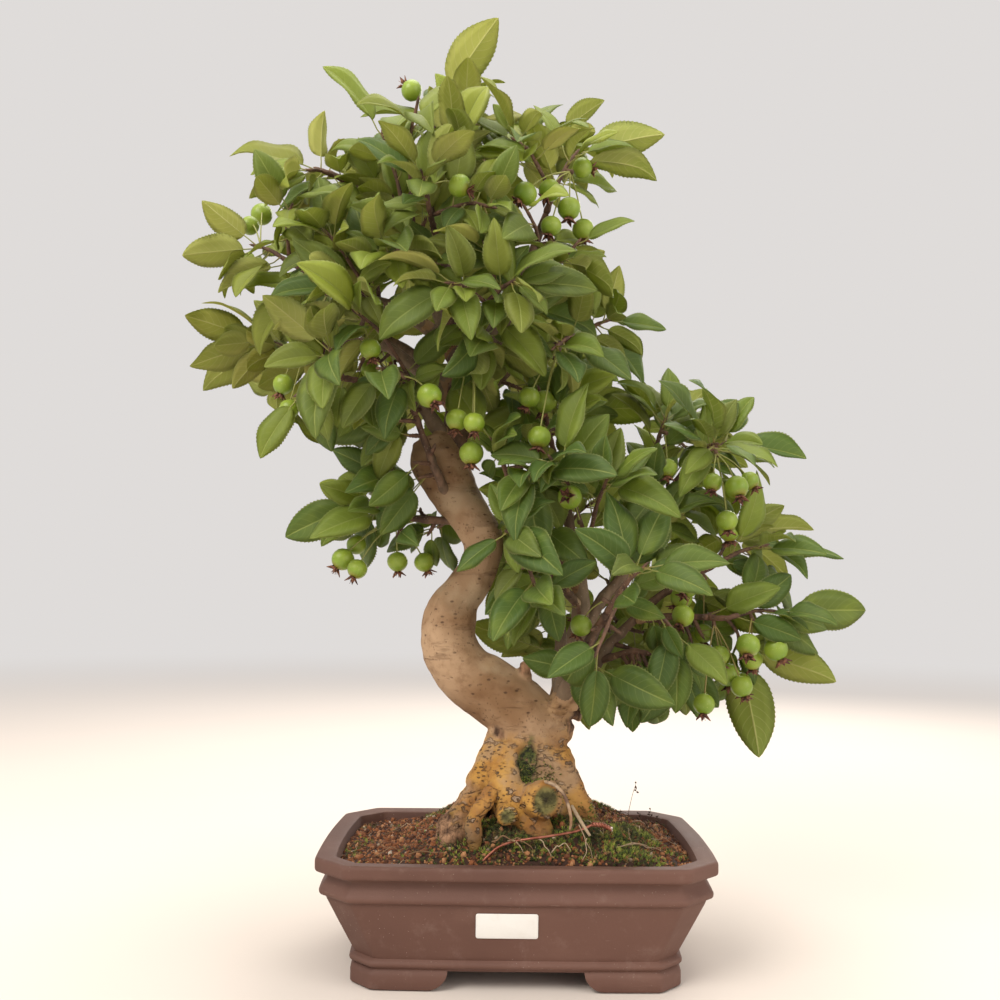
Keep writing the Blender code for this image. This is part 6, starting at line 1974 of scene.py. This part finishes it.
def build_fine_roots(finishes):
    """Roots too fine for the solids: one over the big stub, pale rootlets on the moss, and hairs."""
    rng = random.Random(61)
    build = Build("tone")
    over = [(mm(place), radius * MM) for place, radius in OVER_STUB]
    build.add(*tube(finer(over, 6), 9), 1, tone=(0.3, 0.5, 0))
    beside = [(mm(place), radius * MM) for place, radius in BESIDE_STUB]
    build.add(*tube(finer(beside, 6), 8), 0, tone=(0.92, 0.5, 0))
    for start, end, radius, arch in ROOTLETS:
        path = finer(wander(start, end, rng, 5, (0.7 * radius, 0.3 * radius), arch, 1.8), 3)
        build.add(*tube(path, 6), 0, tone=(rng.uniform(0.6, 0.95), 0.5, 0))
    for _ in range(150):
        x, y = rng.uniform(-118, 118), rng.uniform(-76, 76)
        if ((x / 122) ** 6 + (y / 80) ** 6) > 0.9:
            continue
        turn, long = rng.uniform(0, 6.28), rng.uniform(5, 20)
        start = Vector((x, y, bed_height(x, y) + 0.6))
        x, y = x + math.cos(turn) * long, y + math.sin(turn) * long
        if ((x / 118) ** 6 + (y / 77) ** 6) > 0.9:
            continue
        end = Vector((x, y, bed_height(x, y) + 0.4))
        thin = rng.uniform(0.16, 0.45)
        path = finer(wander(start, end, rng, 4, (thin, 0.6 * thin), rng.uniform(0.5, 3.5), 1.8), 2)
        build.add(*tube(path, 4), 0, tone=(rng.uniform(0.0, 1.0), 0.5, 0))
    return build.piece("fine_roots", finishes, "soil")


def build_dry_stalk(finishes):
    """A dry seedling stalk, and a sprig of dead stems at the back of the pot."""
    rng = random.Random(71)
    build = Build("tone")
    for foot, top in (
        ((72, -34, 86), (81, -36, 122)), ((74, -30, 86), (70, -36, 104)), ((86, -22, 82), (90, -26, 94)),
        ((98, 34, 76), (100, 30, 92)), ((99, 35, 76), (92, 32, 88)), ((97, 33, 76), (106, 30, 87)),
    ):
        path = finer(wander(foot, top, rng, 4, (0.32, 0.14), 0, 1.2), 2)
        build.add(*tube(path, 4), 0, tone=(0.2, 0.5, 0))
        tip = path[-1][0]
        for _ in range(4):
            side = Vector([rng.uniform(-1, 1), rng.uniform(-1, 1), rng.uniform(-0.2, 0.8)]).normalized()
            spot = tip - UP * (rng.uniform(0, 7) * MM)
            husk = [(spot + side * (far * MM), wide * MM) for far, wide in ((0, 0.2), (1.6, 0.7), (3.2, 0.1))]
            build.add(*tube(husk, 5), 0, tone=(0.05, 0.5, 0))
    return build.piece("dry_stalks", finishes, "soil")


# Camera, light and floor


def build_camera():
    lens = bpy.data.cameras.new("camera")
    lens.lens = CAMERA_LENS
    lens.sensor_width = 36
    lens.clip_start = 0.01
    camera = bpy.data.objects.new("camera", lens)
    bpy.context.scene.collection.objects.link(camera)
    yaw, pitch, roll = (math.radians(a) for a in (CAMERA_YAW, CAMERA_PITCH, CAMERA_ROLL))
    forward = Vector((math.sin(yaw) * math.cos(pitch), math.cos(yaw) * math.cos(pitch), math.sin(pitch)))
    right = Vector((math.cos(yaw), -math.sin(yaw), 0))
    above = right.cross(forward)
    turned_right = right * math.cos(roll) + above * math.sin(roll)
    turned_above = above * math.cos(roll) - right * math.sin(roll)
    turn = Matrix((turned_right, turned_above, -forward)).transposed()
    camera.matrix_world = Matrix.Translation(mm(CAMERA_PLACE)) @ turn.to_4x4()
    bpy.context.scene.camera = camera


def build_light():
    world = bpy.data.worlds.new("pale_room")
    world.use_nodes = True
    bpy.context.scene.world = world
    sky = world.node_tree.nodes["Background"]
    sky.inputs["Color"].default_value = (*ROOM_LIGHT, 1)
    bpy.context.scene.view_settings.view_transform = "Standard"
    for name, place, size, power in (
        ("key", (-1.0, -1.2, 1.5), 1.1, 30), ("fill", (1.3, -1.0, 0.8), 1.2, 11),
        ("over", (0.1, 0.2, 2.0), 1.4, 24), ("behind", (0.5, 1.5, 1.1), 1.0, 15),
    ):
        lamp = bpy.data.lights.new(name, "AREA")
        lamp.energy = power
        lamp.size = size
        lamp.color = (1.0, 0.95, 0.87)
        obj = bpy.data.objects.new(name, lamp)
        obj.location = place
        obj.rotation_euler = (Vector((0, 0, 0.3)) - Vector(place)).to_track_quat("-Z", "Y").to_euler()
        bpy.context.scene.collection.objects.link(obj)


def build_floor():
    mesh = bpy.data.meshes.new("floor")
    bm = bmesh.new()
    bmesh.ops.create_circle(bm, cap_ends=True, radius=6, segments=96)
    bm.to_mesh(mesh)
    bm.free()
    mesh.materials.append(floor_finish())
    floor = bpy.data.objects.new("floor", mesh)
    floor.location = (0, 0, -0.0004)
    bpy.context.scene.collection.objects.link(floor)


build_camera()
build_light()
build_floor()
growth = FullGrowth()
growth.grow_leaves()
growth.grow_spurs()
growth.grow_more_leaves()
build_crown(growth)
build_apples(growth)
trunk = build_trunk(bark_finish())
build_branches(bpy.data.materials["twig_bark"])
build_pot(clay_finish())
build_ground(trunk)
copper = copper_finish()
build_tie_wire(copper, bright_cut_finish())
build_blank_label(label_finish())
build_fine_roots((bpy.data.materials["litter"], bpy.data.materials["root_skin"]))
build_dry_stalk((bpy.data.materials["litter"],))
